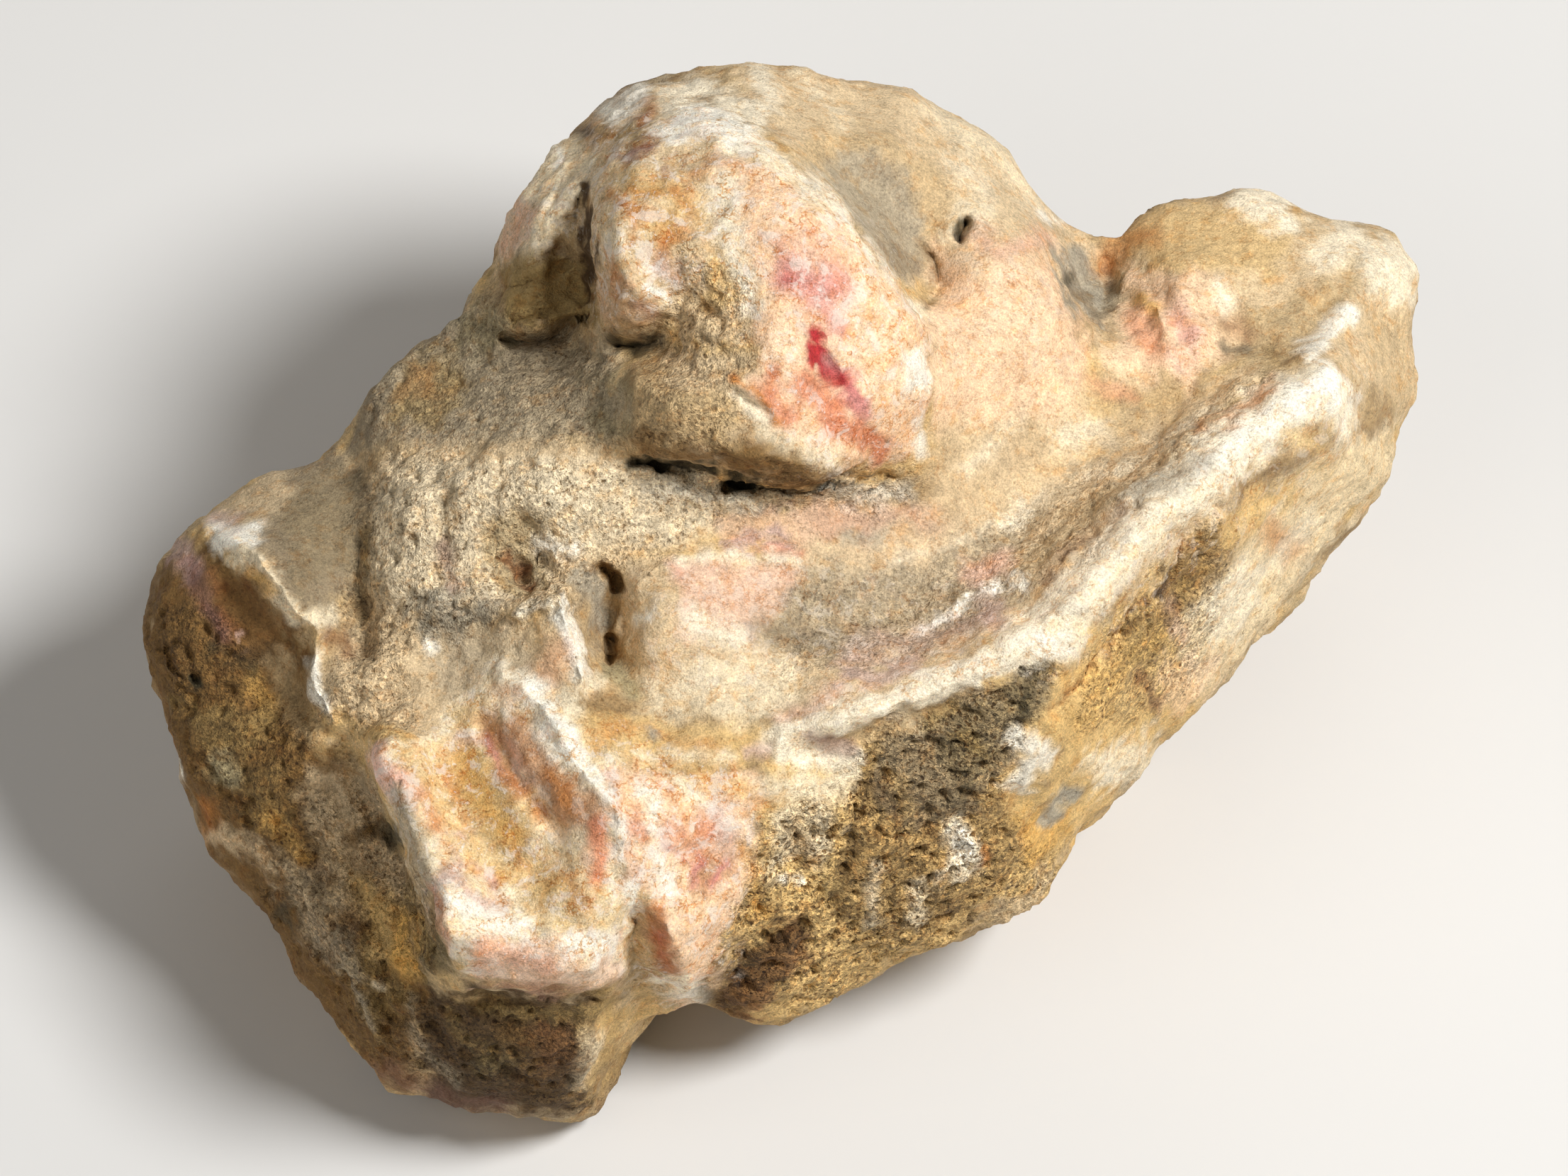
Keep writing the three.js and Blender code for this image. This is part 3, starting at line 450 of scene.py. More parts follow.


# Areas of one finish, each laid over those before it, a few of them painted shade: [outline, colour,
# softness, strength].
areas = [
    # saddle and buttress
    [[(-4, 31), (8, 30.5), (15, 25), (19, 20), (16, 15), (17, 10), (9, 8), (8, 14), (5, 20),
      (1, 25)], "sand", 1, 1],
    [[(0.4, 25.4), (2, 27), (6, 26.8), (9, 25), (10, 22), (9.4, 18), (7.4, 18),
      (4, 21.4)], "tan", 1.2, 0.75],
    [[(2, 24.8), (3.6, 25.6), (6.4, 25), (8, 22), (8.4, 18.8), (7, 17.6), (4.4, 20.8),
      (2.4, 23)], "smoke", 1, 0.7],
    [[(8.6, 20.2), (15.6, 21), (16, 18), (17.6, 14), (17, 10.6), (9, 9), (8.3, 14)], "peach", 1.2, 1],
    [[(9, 22), (12, 23.4), (15.8, 22), (15.6, 19), (11, 18.2), (9, 19.6)], "sand", 1, 0.6],
    [[(9, 9.6), (8, 5), (12, 3), (18, 7), (18, 10)], "sand", 1.5, 0.7],
    [[(15.8, 19.8), (17.6, 20), (19.6, 18.6), (19.8, 16.2), (18.2, 15.2),
      (16.2, 16.4)], "smoke", 0.5, 0.9],
    # crown
    [[(-2.6, 25), (0, 24.8), (2, 22.6), (5, 20.4), (6.4, 17.6), (8, 15.4), (8, 11), (7.3, 7.5), (3, 7),
      (-0.4, 9), (-2.4, 12), (-2.2, 17), (-3.4, 21)], "peach", 0.8, 1],
    [[(-12, 28), (-5.6, 28), (-2.8, 25), (-3, 20), (-5, 18), (-8, 15.2), (-11, 15.4),
      (-11.2, 22)], "sand", 0.6, 1],
    [[(-10.8, 15.6), (-11, 18.6), (-8.6, 18.6), (-7.2, 15.6), (-8.6, 14.8)], "rust", 1, 0.4],
    [[(-12.6, 27.4), (-9.4, 29.4), (-7.4, 28.8), (-7.6, 26), (-10, 25.6),
      (-12.4, 26)], "amber", 0.9, 0.25],
    [[(-17.2, 20), (-14.8, 24.4), (-12, 27), (-11.2, 24), (-12.6, 21), (-16, 19)], "ivory", 0.8, 0.95],
    [[(-16.6, 19), (-13.4, 20), (-11, 18), (-11.2, 15.6), (-16.2, 14.8)], "olive", 0.6, 0.9],
    # painted shade in the pit left of the column
    [[(-12.2, 23.2), (-11.5, 23.6), (-11, 21), (-11.2, 17), (-12, 17), (-12, 20)], "umber", 0.4, 1],
    [[(-7.4, 14.6), (-6.6, 17), (-5.2, 20.4), (-4, 20.6), (-2.4, 18.4), (-2, 14.4),
      (-4.6, 14)], "sand", 0.5, 0.85],
    [[(-9, 13), (-4.6, 14), (-2.2, 14), (-2.6, 11), (-3, 8.6), (-8.6, 8.2)], "tan", 0.7, 0.95],
    [[(-7.6, 13.8), (-4.6, 14), (-2.4, 13.8), (-2.7, 11.4), (-6, 11.4)], "sand", 0.9, 0.85],
    # brown of the lip's underside, darkened as painted shade
    [[(-3.4, 8.4), (-0.8, 8.5), (0.6, 7.6), (3, 6.4), (2.4, 5.8), (-2.6, 6.6),
      (-3.6, 7.2)], "brown", 0.3, 0.9],
    [[(-8.8, 8.4), (-7.6, 9.6), (-6.6, 8.4), (-4, 7.9), (-4, 7.1), (-8.4, 7.6)], "brown", 0.4, 0.7],
    [[(-0.6, 20.6), (2.4, 20.6), (4, 18.4), (4, 15.4), (1.4, 14.8), (-0.4, 16.6)], "rose", 1, 0.3],
    [[(2, 13.6), (3.4, 13.4), (4.4, 12), (5.4, 10.6), (4.4, 10.3), (2.8, 11.6)], "rose", 0.4, 0.8],
    # upper left slope
    [[(-26, 8), (-24, 14), (-18, 17), (-16, 14.4), (-10, 14.4), (-9.4, 9), (-14, 8),
      (-20, 8)], "grey", 1.4, 0.9],
    [[(-16.4, 14), (-11.2, 14.6), (-10.4, 12), (-13, 10), (-17.6, 10)], "ash", 1.4, 0.45],
    [[(-22.8, 9.4), (-22.6, 13.4), (-19.4, 14), (-18.6, 11.6), (-20, 9.6)], "olive", 0.8, 0.7],
    [[(-22.4, 11), (-22, 13), (-20, 13), (-20.6, 11)], "amber", 1, 0.25],
    [[(-25.6, 8.4), (-24, 12.2), (-23.2, 11.6), (-23.4, 8)], "ash", 0.6, 0.8],
    [[(-19.4, 16), (-16.8, 16.6), (-16.4, 14), (-18.6, 14)], "sage", 0.7, 0.7],
    [[(-11.4, 9), (-11.4, 12.4), (-9.2, 12.6), (-9, 9)], "sage", 0.8, 0.7],
    # basin and dome
    [[(-24.4, 7), (-20, 8), (-12, 9), (-8.6, 7), (-4, 6.6), (-3.4, 3), (-9, 2), (-11, 0), (-17, -2),
      (-24, -2)], "sand", 1, 0.95],
    [[(-24, 6), (-21, 7.4), (-13, 7.6), (-12, 3), (-14, 0), (-18, -1), (-24, -1)], "ivory", 1, 0.7],
    [[(-14, 8), (-4, 7), (-3.6, 3.6), (-8, 2.4), (-14, 2.4)], "ivory", 1, 0.7],
    [[(-25, -1.6), (-22, -1), (-19, -3), (-22, -8), (-28, -7.4), (-27, -5)], "sand", 1, 0.9],
    [[(-22, -2), (-12, -1.4), (-11.6, -6), (-16, -8), (-22, -9)], "sand", 1.2, 0.7],
    [[(-22.4, -0.4), (-17, -0.4), (-16.8, -2.4), (-21, -3.6)], "smoke", 0.8, 0.8],
    [[(-20.4, -3.4), (-15.6, -2.4), (-14.6, -5), (-20, -7)], "smoke", 1.2, 0.4],
    [[(-17.2, 4), (-14.6, 4.4), (-13.8, 1), (-15.4, -0.8), (-16.8, 0.6)], "olive", 0.8, 0.6],
    [[(-3.4, 6.2), (2, 5.6), (7.4, 6.8), (7.6, 4.8), (0, 4.2), (-3.4, 4.6)], "grey", 0.5, 0.8],
    [[(-4, 4.6), (7, 5), (10, 4), (10, 1.6), (0.6, 1.4), (-3.6, 2.6)], "shell", 1, 0.45],
    # knuckle and trough
    [[(-10, 2), (0, 2.4), (8, 3.4), (14, 6), (22, 10), (27, 13.4), (29, 12.6), (20, 4.4), (14, -2.6),
      (4, -7), (-9, -6)], "sand", 1.2, 0.9],
    [[(0, 1), (8, 1.6), (16, 6.4), (24, 10.6), (26, 9.6), (17, 2), (12, -2), (4, -5.4),
      (-1, -3)], "grey", 1.2, 0.8],
    [[(12, 0), (16, 5.6), (21, 8.6), (28, 13.6), (29.6, 12.6), (25, 9), (19.6, 4.2),
      (15, -1)], "sand", 0.8, 0.6],
    [[(-9.4, 0.4), (-6.6, 1.8), (-5.8, -1), (-6, -5), (-9, -6)], "sand", 0.6, 0.6],
    [[(-6.4, 1.8), (0, 1.6), (1, 0), (-1.6, -3), (-6, -3)], "shell", 0.9, 0.65],
    [[(-8.4, -5), (0, -3.8), (2, -5.6), (-0.6, -7.8), (-8, -7.6)], "ivory", 0.9, 0.75],
    [[(3, -4.2), (8, -4), (7.6, -5.4), (3.4, -6.4)], "lilac", 0.6, 0.7],
    # upper right lobe
    [[(18.6, 12), (18.8, 19.6), (22, 22.8), (28, 24), (31, 22), (37.6, 19.6), (37, 10), (34, 12),
      (31, 14)], "sand", 1, 0.9],
    [[(19.4, 20.4), (21, 22.6), (26.6, 23), (30, 21), (29, 18.6), (22, 18.6)], "ochre", 1, 0.65],
    [[(19, 13), (20, 18.6), (24.6, 18.6), (27, 15.6), (24, 12)], "peach", 1, 0.9],
    [[(25.8, 21.6), (26.6, 24), (29.6, 23.6), (30.8, 21.6), (29, 21.4)], "cream", 0.6, 0.9],
    [[(30.6, 18.6), (32, 21.6), (37.6, 20), (37.4, 16.6), (34.4, 17.4), (33.4, 19)], "cream", 0.9, 0.8],
    [[(25.8, 13), (26, 16.4), (29, 16.6), (33.6, 19), (34, 17.6), (31, 14.6),
      (28.4, 12.6)], "olive", 0.8, 0.4],
    [[(34.4, 16), (37, 16), (37, 10), (34.4, 9.6)], "tan", 0.8, 0.5],
    [[(33, 9), (35.6, 8.6), (36, 7), (31.6, 2.6), (27, 4.4), (30, 7)], "ivory", 0.8, 0.6],
    # left lump
    [[(-35.6, 3), (-30, 7), (-26, 8), (-24.4, 6), (-25, 0), (-26, -2), (-29, -1.4), (-30, 2),
      (-33, 3.4)], "ash", 0.8, 0.9],
    [[(-29.4, 5.4), (-26, 7.6), (-24.6, 6.6), (-25.4, 1), (-28.6, 0)], "moss", 1, 0.3],
    [[(-34.4, 4.4), (-30, 6.8), (-28.6, 5.6), (-30.6, 3.6), (-33, 3)], "sand", 0.7, 0.7],
    [[(-37.6, 0), (-34, 3), (-32, 1), (-28, -3), (-28, -8), (-34, -13), (-38, -6)], "brown", 0.8, 1],
    [[(-33, 0.6), (-30.6, 0), (-28.6, -2.4), (-28.8, -4), (-33, -5)], "chestnut", 0.7, 0.2],
    [[(-36, 0), (-34.6, -0.4), (-33.8, -3), (-34.6, -5), (-35.6, -3)], "umber", 0.8, 0.25],
    [[(-32, -3.4), (-29, -3.6), (-28.8, -4.8), (-32, -5)], "umber", 0.7, 0.7],
    # left and lower left flanks
    [[(-37, -7), (-28, -8), (-25, -11), (-22, -17), (-20.6, -24), (-22, -30), (-29, -26),
      (-34, -16)], "brown", 1.2, 1],
    [[(-32.6, -9.6), (-29, -10.6), (-28.4, -14), (-31.6, -14.4)], "olive", 0.9, 0.4],
    [[(-36, -6.6), (-29.6, -7), (-29.6, -9), (-34, -9.8)], "olive", 1, 0.6],
    [[(-27.6, -10.4), (-24.6, -11), (-23.8, -13.4), (-26.6, -15)], "sand", 0.9, 0.85],
    [[(-28, -15), (-25, -16), (-24, -19.4), (-27, -19.8)], "tan", 1, 0.7],
    [[(-26, -15.4), (-24, -17.8), (-22.2, -18.8), (-22.4, -20), (-24.4, -20.4),
      (-24.8, -18)], "gold", 0.4, 0.9],
    [[(-25, -19), (-22.6, -19.6), (-21.8, -23), (-23.6, -27), (-26, -23)], "olive", 1, 0.5],
    # light painted shade along the gully, over its olive-brown
    [[(-26.6, -8.6), (-24, -10.4), (-22.4, -13), (-21.2, -17), (-19.4, -20.4), (-19.4, -23),
      (-21.4, -23.4), (-22.4, -19), (-23.6, -16), (-24.4, -13)], "umber", 0.6, 0.15],
    [[(-25.2, -14.8), (-22.8, -15.2), (-21.8, -18.4), (-23.4, -18), (-25, -16.8)], "sand", 0.8, 0.6],
    [[(-30.4, -15.6), (-27.6, -16.6), (-25.4, -20.4), (-24.6, -24), (-26.8, -22),
      (-28.6, -19)], "grey", 0.8, 0.5],
    [[(-21.8, -19.6), (-19.8, -20.6), (-19.6, -23), (-21.4, -23)], "moss", 0.6, 0.7],
    [[(-20.8, -23.4), (-9, -24), (-9.6, -28), (-11.4, -31), (-21, -30.6)], "umber", 0.7, 0.95],
    [[(-18.6, -27), (-15.4, -26.8), (-15, -28), (-18, -28.6)], "moss", 0.9, 0.5],
    [[(-15, -25.4), (-12.4, -25), (-12.6, -28), (-14, -28.6)], "chestnut", 1.4, 0.35],
    [[(-10.8, -24), (-8, -24.6), (-9.4, -27), (-11, -29.8), (-11.8, -29.6)], "ochre", 1.5, 0.8],
    # pink block
    [[(-23.6, -10), (-17, -5), (-12, -6), (-9, -14), (-8.6, -19), (-9.4, -22.6), (-18.2, -22.8),
      (-20.4, -19)], "ivory", 0.5, 1],
    [[(-16, -16.6), (-10, -16.4), (-9.6, -19.6), (-15, -19.6)], "ochre", 1, 0.5],
    [[(-22.4, -9.6), (-17.6, -6.6), (-15.4, -10), (-12, -15), (-11.4, -18.6), (-15.4, -17.4),
      (-20, -15.8), (-21.4, -13)], "ochre", 0.8, 0.7],
    [[(-19.6, -9), (-17.6, -9.4), (-14.6, -14), (-15.6, -16.4), (-19, -14)], "olive", 1, 0.45],
    [[(-18.2, -20.4), (-9.6, -20), (-9.6, -23), (-14, -23.4), (-17.8, -23)], "shell", 0.7, 0.5],
    [[(-12, -7.4), (-1, -7.8), (-1.6, -10.4), (-11, -10.8)], "ochre", 0.9, 0.75],
    [[(-11, -10.6), (-1, -10.6), (-2, -17), (-3, -23), (-6, -25), (-8, -18),
      (-9.6, -16)], "peach", 0.8, 0.95],
    # lower right flank
    [[(-1, -10), (5, -9.6), (16, -4), (17, -8), (15, -12), (15.4, -18), (6, -22.6), (-2, -26),
      (-4.6, -24.4), (-2, -18)], "ochre", 0.8, 1],
    [[(-0.4, -10.8), (3.4, -11), (3, -15.6), (-0.6, -16)], "ivory", 0.8, 0.6],
    [[(3.8, -10), (8, -8.6), (12, -12), (14.6, -14), (12, -19), (4, -21.6),
      (3.6, -15)], "brown", 1, 0.45],
    [[(6, -9), (9, -7), (15.2, -4.2), (15.6, -6), (13.6, -8), (13.6, -9.4), (11.6, -13), (7.6, -14.6),
      (5, -12)], "ash", 0.8, 0.75],
    [[(9.6, -7.4), (15, -4.4), (15.4, -6), (12.6, -9.6), (11, -12.6), (9, -11)], "moss", 0.7, 0.35],
    [[(-4.4, -24.4), (-2.6, -21.4), (1, -19), (2, -21), (0, -23), (-2, -25.6)], "chestnut", 0.8, 0.8],
    [[(11, -20), (15.6, -15.8), (16.6, -16), (14, -19.6)], "sand", 0.6, 0.8],
    # right flank
    [[(17, -3.4), (22, 1.4), (25.6, 4.6), (33, 8), (36, 9), (30, 0.6), (22, -9.4), (17, -14.6),
      (15, -18), (15.6, -8)], "ochre", 0.7, 0.95],
    [[(25.6, 2.4), (33, 8), (36.4, 9.6), (31, 1), (24, -7), (23, -2)], "ivory", 1, 0.6],
    [[(16.6, -5), (20, -3), (23, 1), (24.6, 1), (22.4, -3), (19, -7)], "gold", 0.8, 0.5],
    [[(21.4, -0.6), (23, 2.4), (25, 4), (26, 2), (24.6, -0.6), (22, -2)], "brown", 0.7, 0.6],
    [[(19, -5), (20.4, -1.4), (24.4, 1), (24, -2), (21.6, -5)], "olive", 0.8, 0.5],
    [[(24.4, -1), (27, 1.6), (28, -1), (25, -4)], "cream", 0.9, 0.7],
    [[(22, -4), (25.6, -4), (24, -7.6), (21.6, -7)], "peach", 0.9, 0.5],
    [[(18, -9.6), (22, -8.4), (21, -11), (18.4, -12)], "cream", 0.8, 0.7],
    [[(14.4, -13), (16.4, -12.6), (17, -14.4), (15, -16.4), (14, -15)], "gold", 0.5, 0.8],
]

# Streaks and spots of one finish; some are painted shade, a few are painted light, highlights and glints:
# [line, colour, half width, softness, strength].
streaks = [
    # crown
    [[(-6.4, 28), (-4.5, 27.6), (-2, 26), (0, 24.6), (1.6, 23.4), (3, 21.8)], "cream", 0.65, 0.6, 0.9],
    # painted glints, white sparkles on the crest
    [[(-6.6, 26.2), (-5.8, 26.6)], "white", 0.5, 0.3, 1],
    [[(-5.2, 27.6), (-4, 27), (-2.6, 26.2)], "white", 0.8, 0.6, 1],
    [[(3, 21.8), (5.3, 19.6), (6.4, 17.8), (8, 16)], "cream", 0.35, 0.5, 0.9],
    [[(-3, 25.4), (-3.4, 22.4), (-2.6, 19), (-2, 16.6)], "cream", 0.9, 0.9, 0.8],
    [[(0.2, 18.4), (1.6, 17.4), (2.8, 17.6)], "rose", 0.9, 1, 0.75],
    [[(0.3, 18.1), (0.6, 17.8)], "crimson", 0.15, 0.3, 0.7],
    [[(2.2, 16.4), (3.2, 15.4)], "rose", 0.6, 0.8, 0.6],
    [[(-0.8, 12.4), (-0.8, 10.8), (0.2, 9.9)], "coral", 0.7, 0.6, 0.8],
    [[(1.8, 14.9), (1.95, 14), (2.1, 13.2)], "crimson", 0.5, 0.2, 1],
    [[(2.1, 13.4), (2.5, 12.7), (3.2, 12)], "crimson", 0.65, 0.25, 1],
    [[(3.2, 12.2), (4, 11.4), (4.8, 10.8)], "crimson", 0.1, 0.35, 0.7],
    [[(2.8, 13.6), (3.4, 12.6)], "lilac", 0.4, 0.6, 0.5],
    [[(1.4, 12), (2.6, 10.6), (3, 9.6)], "coral", 0.9, 0.8, 0.95],
    [[(4, 11), (4.8, 10)], "rose", 0.5, 0.6, 0.8],
    [[(3.4, 9.6), (4.6, 8.8), (5.4, 8)], "coral", 0.7, 0.6, 0.9],
    [[(-2.9, 12.2), (-1.8, 11.5), (-0.9, 10.3), (-0.5, 9.6)], "amber", 0.22, 0.25, 0.9],
    [[(-2.4, 11.2), (-1.4, 10)], "cream", 0.5, 0.4, 0.8],
    [[(-1.4, 9), (1, 8), (2.6, 7.6)], "ivory", 0.5, 0.6, 0.7],
    [[(7.4, 13.6), (7.6, 12)], "white", 0.6, 0.4, 0.9],
    [[(7.8, 9.6), (8.1, 8)], "white", 0.35, 0.4, 0.8],
    [[(-12.1, 26.9), (-11.4, 26.6)], "umber", 0.4, 0.6, 0.8],
    [[(-9.8, 26.8), (-8.6, 26.4)], "olive", 0.8, 0.7, 0.8],
    [[(-8.6, 28.6), (-7.8, 28.2), (-8, 27.2)], "rust", 0.35, 0.6, 0.7],
    [[(-10.8, 28.6), (-9.6, 27.6), (-8.6, 29)], "white", 0.7, 0.8, 0.9],
    [[(-5.6, 29.4), (-4.4, 29.4)], "cream", 0.6, 0.6, 0.9],
    [[(-4.4, 26.5), (-3.6, 26.1)], "white", 0.6, 0.5, 1],
    [[(-7, 28.8), (-6, 29)], "cream", 0.7, 0.6, 0.8],
    [[(-9.4, 25), (-8.2, 25.6), (-7.2, 26.2)], "mauve", 0.35, 0.4, 0.8],
    [[(-7, 24.8), (-6.8, 23.4)], "mauve", 0.3, 0.35, 0.8],
    # painted glints, white sparkles on the crest
    [[(-7, 26.6), (-6, 26.8), (-5.4, 27.2)], "white", 0.5, 0.4, 1],
    [[(-8.6, 23.1), (-7.6, 23)], "amber", 0.45, 0.35, 1],
    [[(-9.8, 22.8), (-8.8, 22), (-8.8, 20.6)], "amber", 0.3, 0.4, 0.8],
    [[(-7.8, 21.6), (-6.4, 21.4), (-7, 20)], "amber", 0.5, 0.6, 0.8],
    [[(-9, 23.6), (-6.4, 23.4), (-5.8, 21.8), (-7.6, 20.8)], "ochre", 0.8, 1.2, 0.7],
    [[(-6.4, 23), (-5.6, 21.8), (-6, 20.6)], "amber", 0.2, 0.7, 0.7],
    [[(-5.4, 24), (-3.8, 24.8), (-2.6, 24.4)], "amber", 0.3, 0.7, 0.6],
    [[(-9.8, 19.6), (-9.6, 17)], "amber", 0.3, 0.7, 0.6],
    [[(-8.4, 16.6), (-7.6, 15.8)], "mauve", 0.4, 0.6, 0.5],
    [[(-10.2, 21), (-9.8, 19.4), (-9.2, 18.6)], "ivory", 0.3, 0.5, 0.8],
    # painted highlights on the lobe's right side
    [[(-8.2, 19.4), (-7.9, 18.6)], "white", 0.15, 0.4, 1],
    [[(-7.6, 17.5), (-6.9, 17.1)], "white", 0.25, 0.25, 1],
    [[(-7.2, 19), (-6.4, 18)], "lilac", 0.5, 0.6, 0.7],
    [[(-13.2, 24.4), (-13, 25.4)], "white", 0.18, 0.2, 0.9],
    [[(-14, 23), (-13.7, 23.6)], "white", 0.15, 0.2, 0.8],
    [[(-16.2, 20), (-15, 22)], "coral", 0.6, 0.8, 0.5],
    [[(-4.9, 16.3), (-4.5, 16.2)], "umber", 0.1, 0.3, 0.8],
    [[(-4, 19), (-3.4, 17), (-4.2, 16.8)], "ochre", 0.6, 0.6, 0.8],
    # painted shade in the crevice under the crown's lip and under the column
    [[(-8.8, 7.4), (-6.4, 7.05), (-4, 6.8)], "sootAndShade", 0.36, 0.25, 1],
    [[(-3.4, 6.6), (-2.2, 6.1), (0, 5.8), (2.4, 5.9)], "sootAndShade", 0.2, 0.3, 0.9],
    [[(-9.9, 14.5), (-8.8, 14.1), (-7.9, 14.4)], "sootAndShade", 0.4, 0.5, 0.95],
    # painted light: the crust's cream made paler below the lip, where the lip's shadow falls
    [[(-8, 5.9), (-5.6, 5.5), (-4, 5.1), (-2, 4.8)], "cream", 0.5, 0.6, 0.9],
    # painted shade in the hole at the lip
    [[(-3, 6.2), (-2, 6.1)], "sootAndShade", 0.5, 0.3, 1],
    # saddle
    [[(-1.6, 30.6), (-0.6, 28.6)], "cream", 0.5, 0.6, 0.8],
    [[(-3.4, 28.6), (-1.4, 27.8)], "cream", 0.7, 0.7, 0.9],
    [[(0.8, 30.2), (2.4, 28.2), (3.6, 27)], "ivory", 0.4, 0.6, 0.7],
    [[(9, 28), (13, 25.6), (15, 23)], "ivory", 1, 1.2, 0.7],
    [[(10, 25), (11.6, 23.4)], "cream", 0.7, 1, 0.5],
    [[(6.2, 19.4), (7.4, 18.8)], "ash", 0.8, 0.7, 0.6],
    [[(7, 17.4), (8.6, 17.2)], "ochre", 0.5, 0.5, 0.8],
    [[(8.2, 19.6), (8.9, 18.6), (8.5, 17.4)], "ash", 0.35, 0.6, 0.6],
    # painted shade along the crease beside the buttress
    [[(8, 20.1), (8.8, 19.1), (9, 18), (8.3, 16.4)], "brown", 0.2, 0.4, 0.75],
    [[(4.4, 23.6), (5.6, 22.6)], "grey", 0.5, 0.8, 0.6],
    # painted shade in the saddle's hole
    [[(10.3, 20.6), (10.6, 21.4)], "sootAndShade", 0.4, 0.25, 1],
    [[(9.4, 20.2), (9.8, 21.4), (10.4, 22.3), (12, 22), (11.2, 21)], "ivory", 0.35, 0.4, 0.8],
    [[(11.4, 20.6), (13, 19.6), (15, 20.6)], "rose", 0.5, 1, 0.35],
    [[(15.2, 21.8), (15.7, 21.5)], "white", 0.3, 0.35, 0.9],
    [[(16.6, 18), (17, 17.8)], "sootAndShade", 0.35, 0.4, 0.9],
    [[(16.8, 17), (17.6, 16.8)], "ash", 0.4, 0.4, 0.9],
    [[(19.3, 17.8), (19, 16.4), (18.2, 15.8)], "ash", 0.35, 0.4, 0.9],
    [[(14.2, 9.8), (12.4, 8.6), (10.2, 6.6)], "cream", 0.2, 0.4, 0.5],
    # upper right lobe
    [[(18.8, 19.2), (20, 20.4), (21.6, 20.6)], "amber", 0.6, 0.8, 0.6],
    [[(20.6, 17.2), (21.8, 16.4)], "gold", 0.4, 0.5, 0.8],
    [[(20.8, 15.6), (21.8, 14)], "coral", 0.8, 0.8, 0.55],
    [[(23.2, 15.8), (23.8, 15)], "rose", 0.5, 0.5, 0.8],
    [[(23.2, 16.6), (24.2, 14.2), (23.4, 13.4)], "shell", 0.7, 0.7, 0.6],
    [[(25.2, 17.6), (26, 16.8)], "cream", 0.4, 0.5, 0.8],
    [[(26.6, 15.8), (27.2, 15)], "chestnut", 0.5, 0.6, 0.5],
    [[(26, 14.3), (27, 14.1)], "ash", 0.3, 0.4, 0.9],
    [[(17.6, 12.3), (19, 11.6), (20.4, 11.4)], "coral", 0.3, 0.7, 0.5],
    [[(16.4, 9), (18.4, 9.4)], "cream", 0.7, 1, 0.6],
    # pale ridge
    [[(0, -8.6), (5, -7.2), (10, -5.2), (13.6, -3.8)], "cream", 0.95, 0.4, 1],
    [[(13.6, -3.4), (16, -1.4), (19, 1.5), (22, 4.7), (25, 7.3), (28, 9.8),
      (31, 11.6)], "cream", 1.7, 0.5, 1],
    [[(24.6, 6.8), (27, 8.6), (30, 11)], "white", 0.9, 0.7, 0.8],
    [[(17, -2.2), (20.4, 1.2), (23, 4)], "sand", 0.3, 0.7, 0.6],
    [[(31, 11.6), (31.8, 12.4), (32.6, 11)], "white", 0.9, 0.5, 1],
    [[(32.7, 11.4), (32.7, 9)], "cream", 0.6, 0.5, 0.9],
    [[(30.8, 14), (32, 15.2), (33, 16)], "white", 0.6, 0.5, 0.9],
    [[(24, 5.4), (27, 7.8), (29.6, 9)], "ivory", 0.7, 0.9, 0.5],
    [[(29.6, 8.8), (31.2, 8.2)], "ochre", 0.4, 0.6, 0.6],
    [[(20.8, 5.4), (24.6, 7.2)], "smoke", 0.7, 0.8, 0.6],
    [[(14.6, -3), (16.6, -3.4)], "white", 0.6, 0.7, 0.8],
    # painted shade along the crease under the pale ridge
    [[(15.8, -7), (17.2, -5.2), (18.5, -3.6), (20, -1.6), (21.8, 0.2), (22.8, 2.2),
      (24, 3.8)], "chestnut", 0.12, 0.3, 0.6],
    [[(24.4, 9.4), (26.4, 10), (28.6, 11.8)], "amber", 0.3, 0.5, 0.7],
    [[(20, 4.4), (17.6, 3), (15, 0.6)], "chestnut", 0.25, 0.7, 0.6],
    [[(18, 5.4), (14.6, 3.2)], "sand", 0.3, 0.7, 0.6],
    # knuckle and trough
    [[(8.2, -2.5), (11, -0.1), (13.1, 0.5)], "white", 0.18, 0.18, 1],
    [[(11, 0.9), (12.8, 1.4)], "shell", 0.6, 0.8, 0.8],
    [[(12, 0.1), (13.6, 0.7)], "white", 0.4, 0.4, 0.9],
    [[(3, -4.6), (7, -3.9), (11, -2.4)], "tan", 0.08, 0.5, 0.7],
    [[(4, -2.6), (8, -1.6), (11, 0.6)], "brown", 0.05, 0.5, 0.5],
    [[(6, 1.4), (11, 3), (15, 5.6)], "cream", 0.08, 0.6, 0.6],
    [[(18, 6.4), (22, 8.4), (25, 10.6)], "cream", 0.15, 0.7, 0.6],
    [[(4, -3.6), (9, -2.8), (12, -1.6)], "lilac", 0.7, 0.9, 0.5],
    [[(11.6, -0.6), (12.4, -1.6)], "lilac", 0.6, 0.8, 0.6],
    [[(-1.6, -2.2), (2.4, -3.2)], "ash", 0.9, 1.2, 0.7],
    [[(0, -0.6), (3, -1)], "ash", 0.6, 1, 0.5],
    [[(14, 1), (17, 4), (19, 5.4)], "olive", 0.4, 1, 0.35],
    [[(13, 3.6), (14, 4.6), (13.6, 5.4)], "cream", 0.4, 0.5, 0.8],
    [[(-5, -2), (-3, -2.8)], "cream", 0.9, 0.8, 0.75],
    [[(-10.6, 11.4), (-9.8, 10.6)], "grey", 0.7, 0.8, 0.8],
    [[(-8.4, -1.8), (-8, -1.9)], "white", 0.3, 0.25, 1],
    [[(-6, 1.4), (-6.1, 0), (-5.8, -1.2)], "coral", 0.15, 0.4, 0.6],
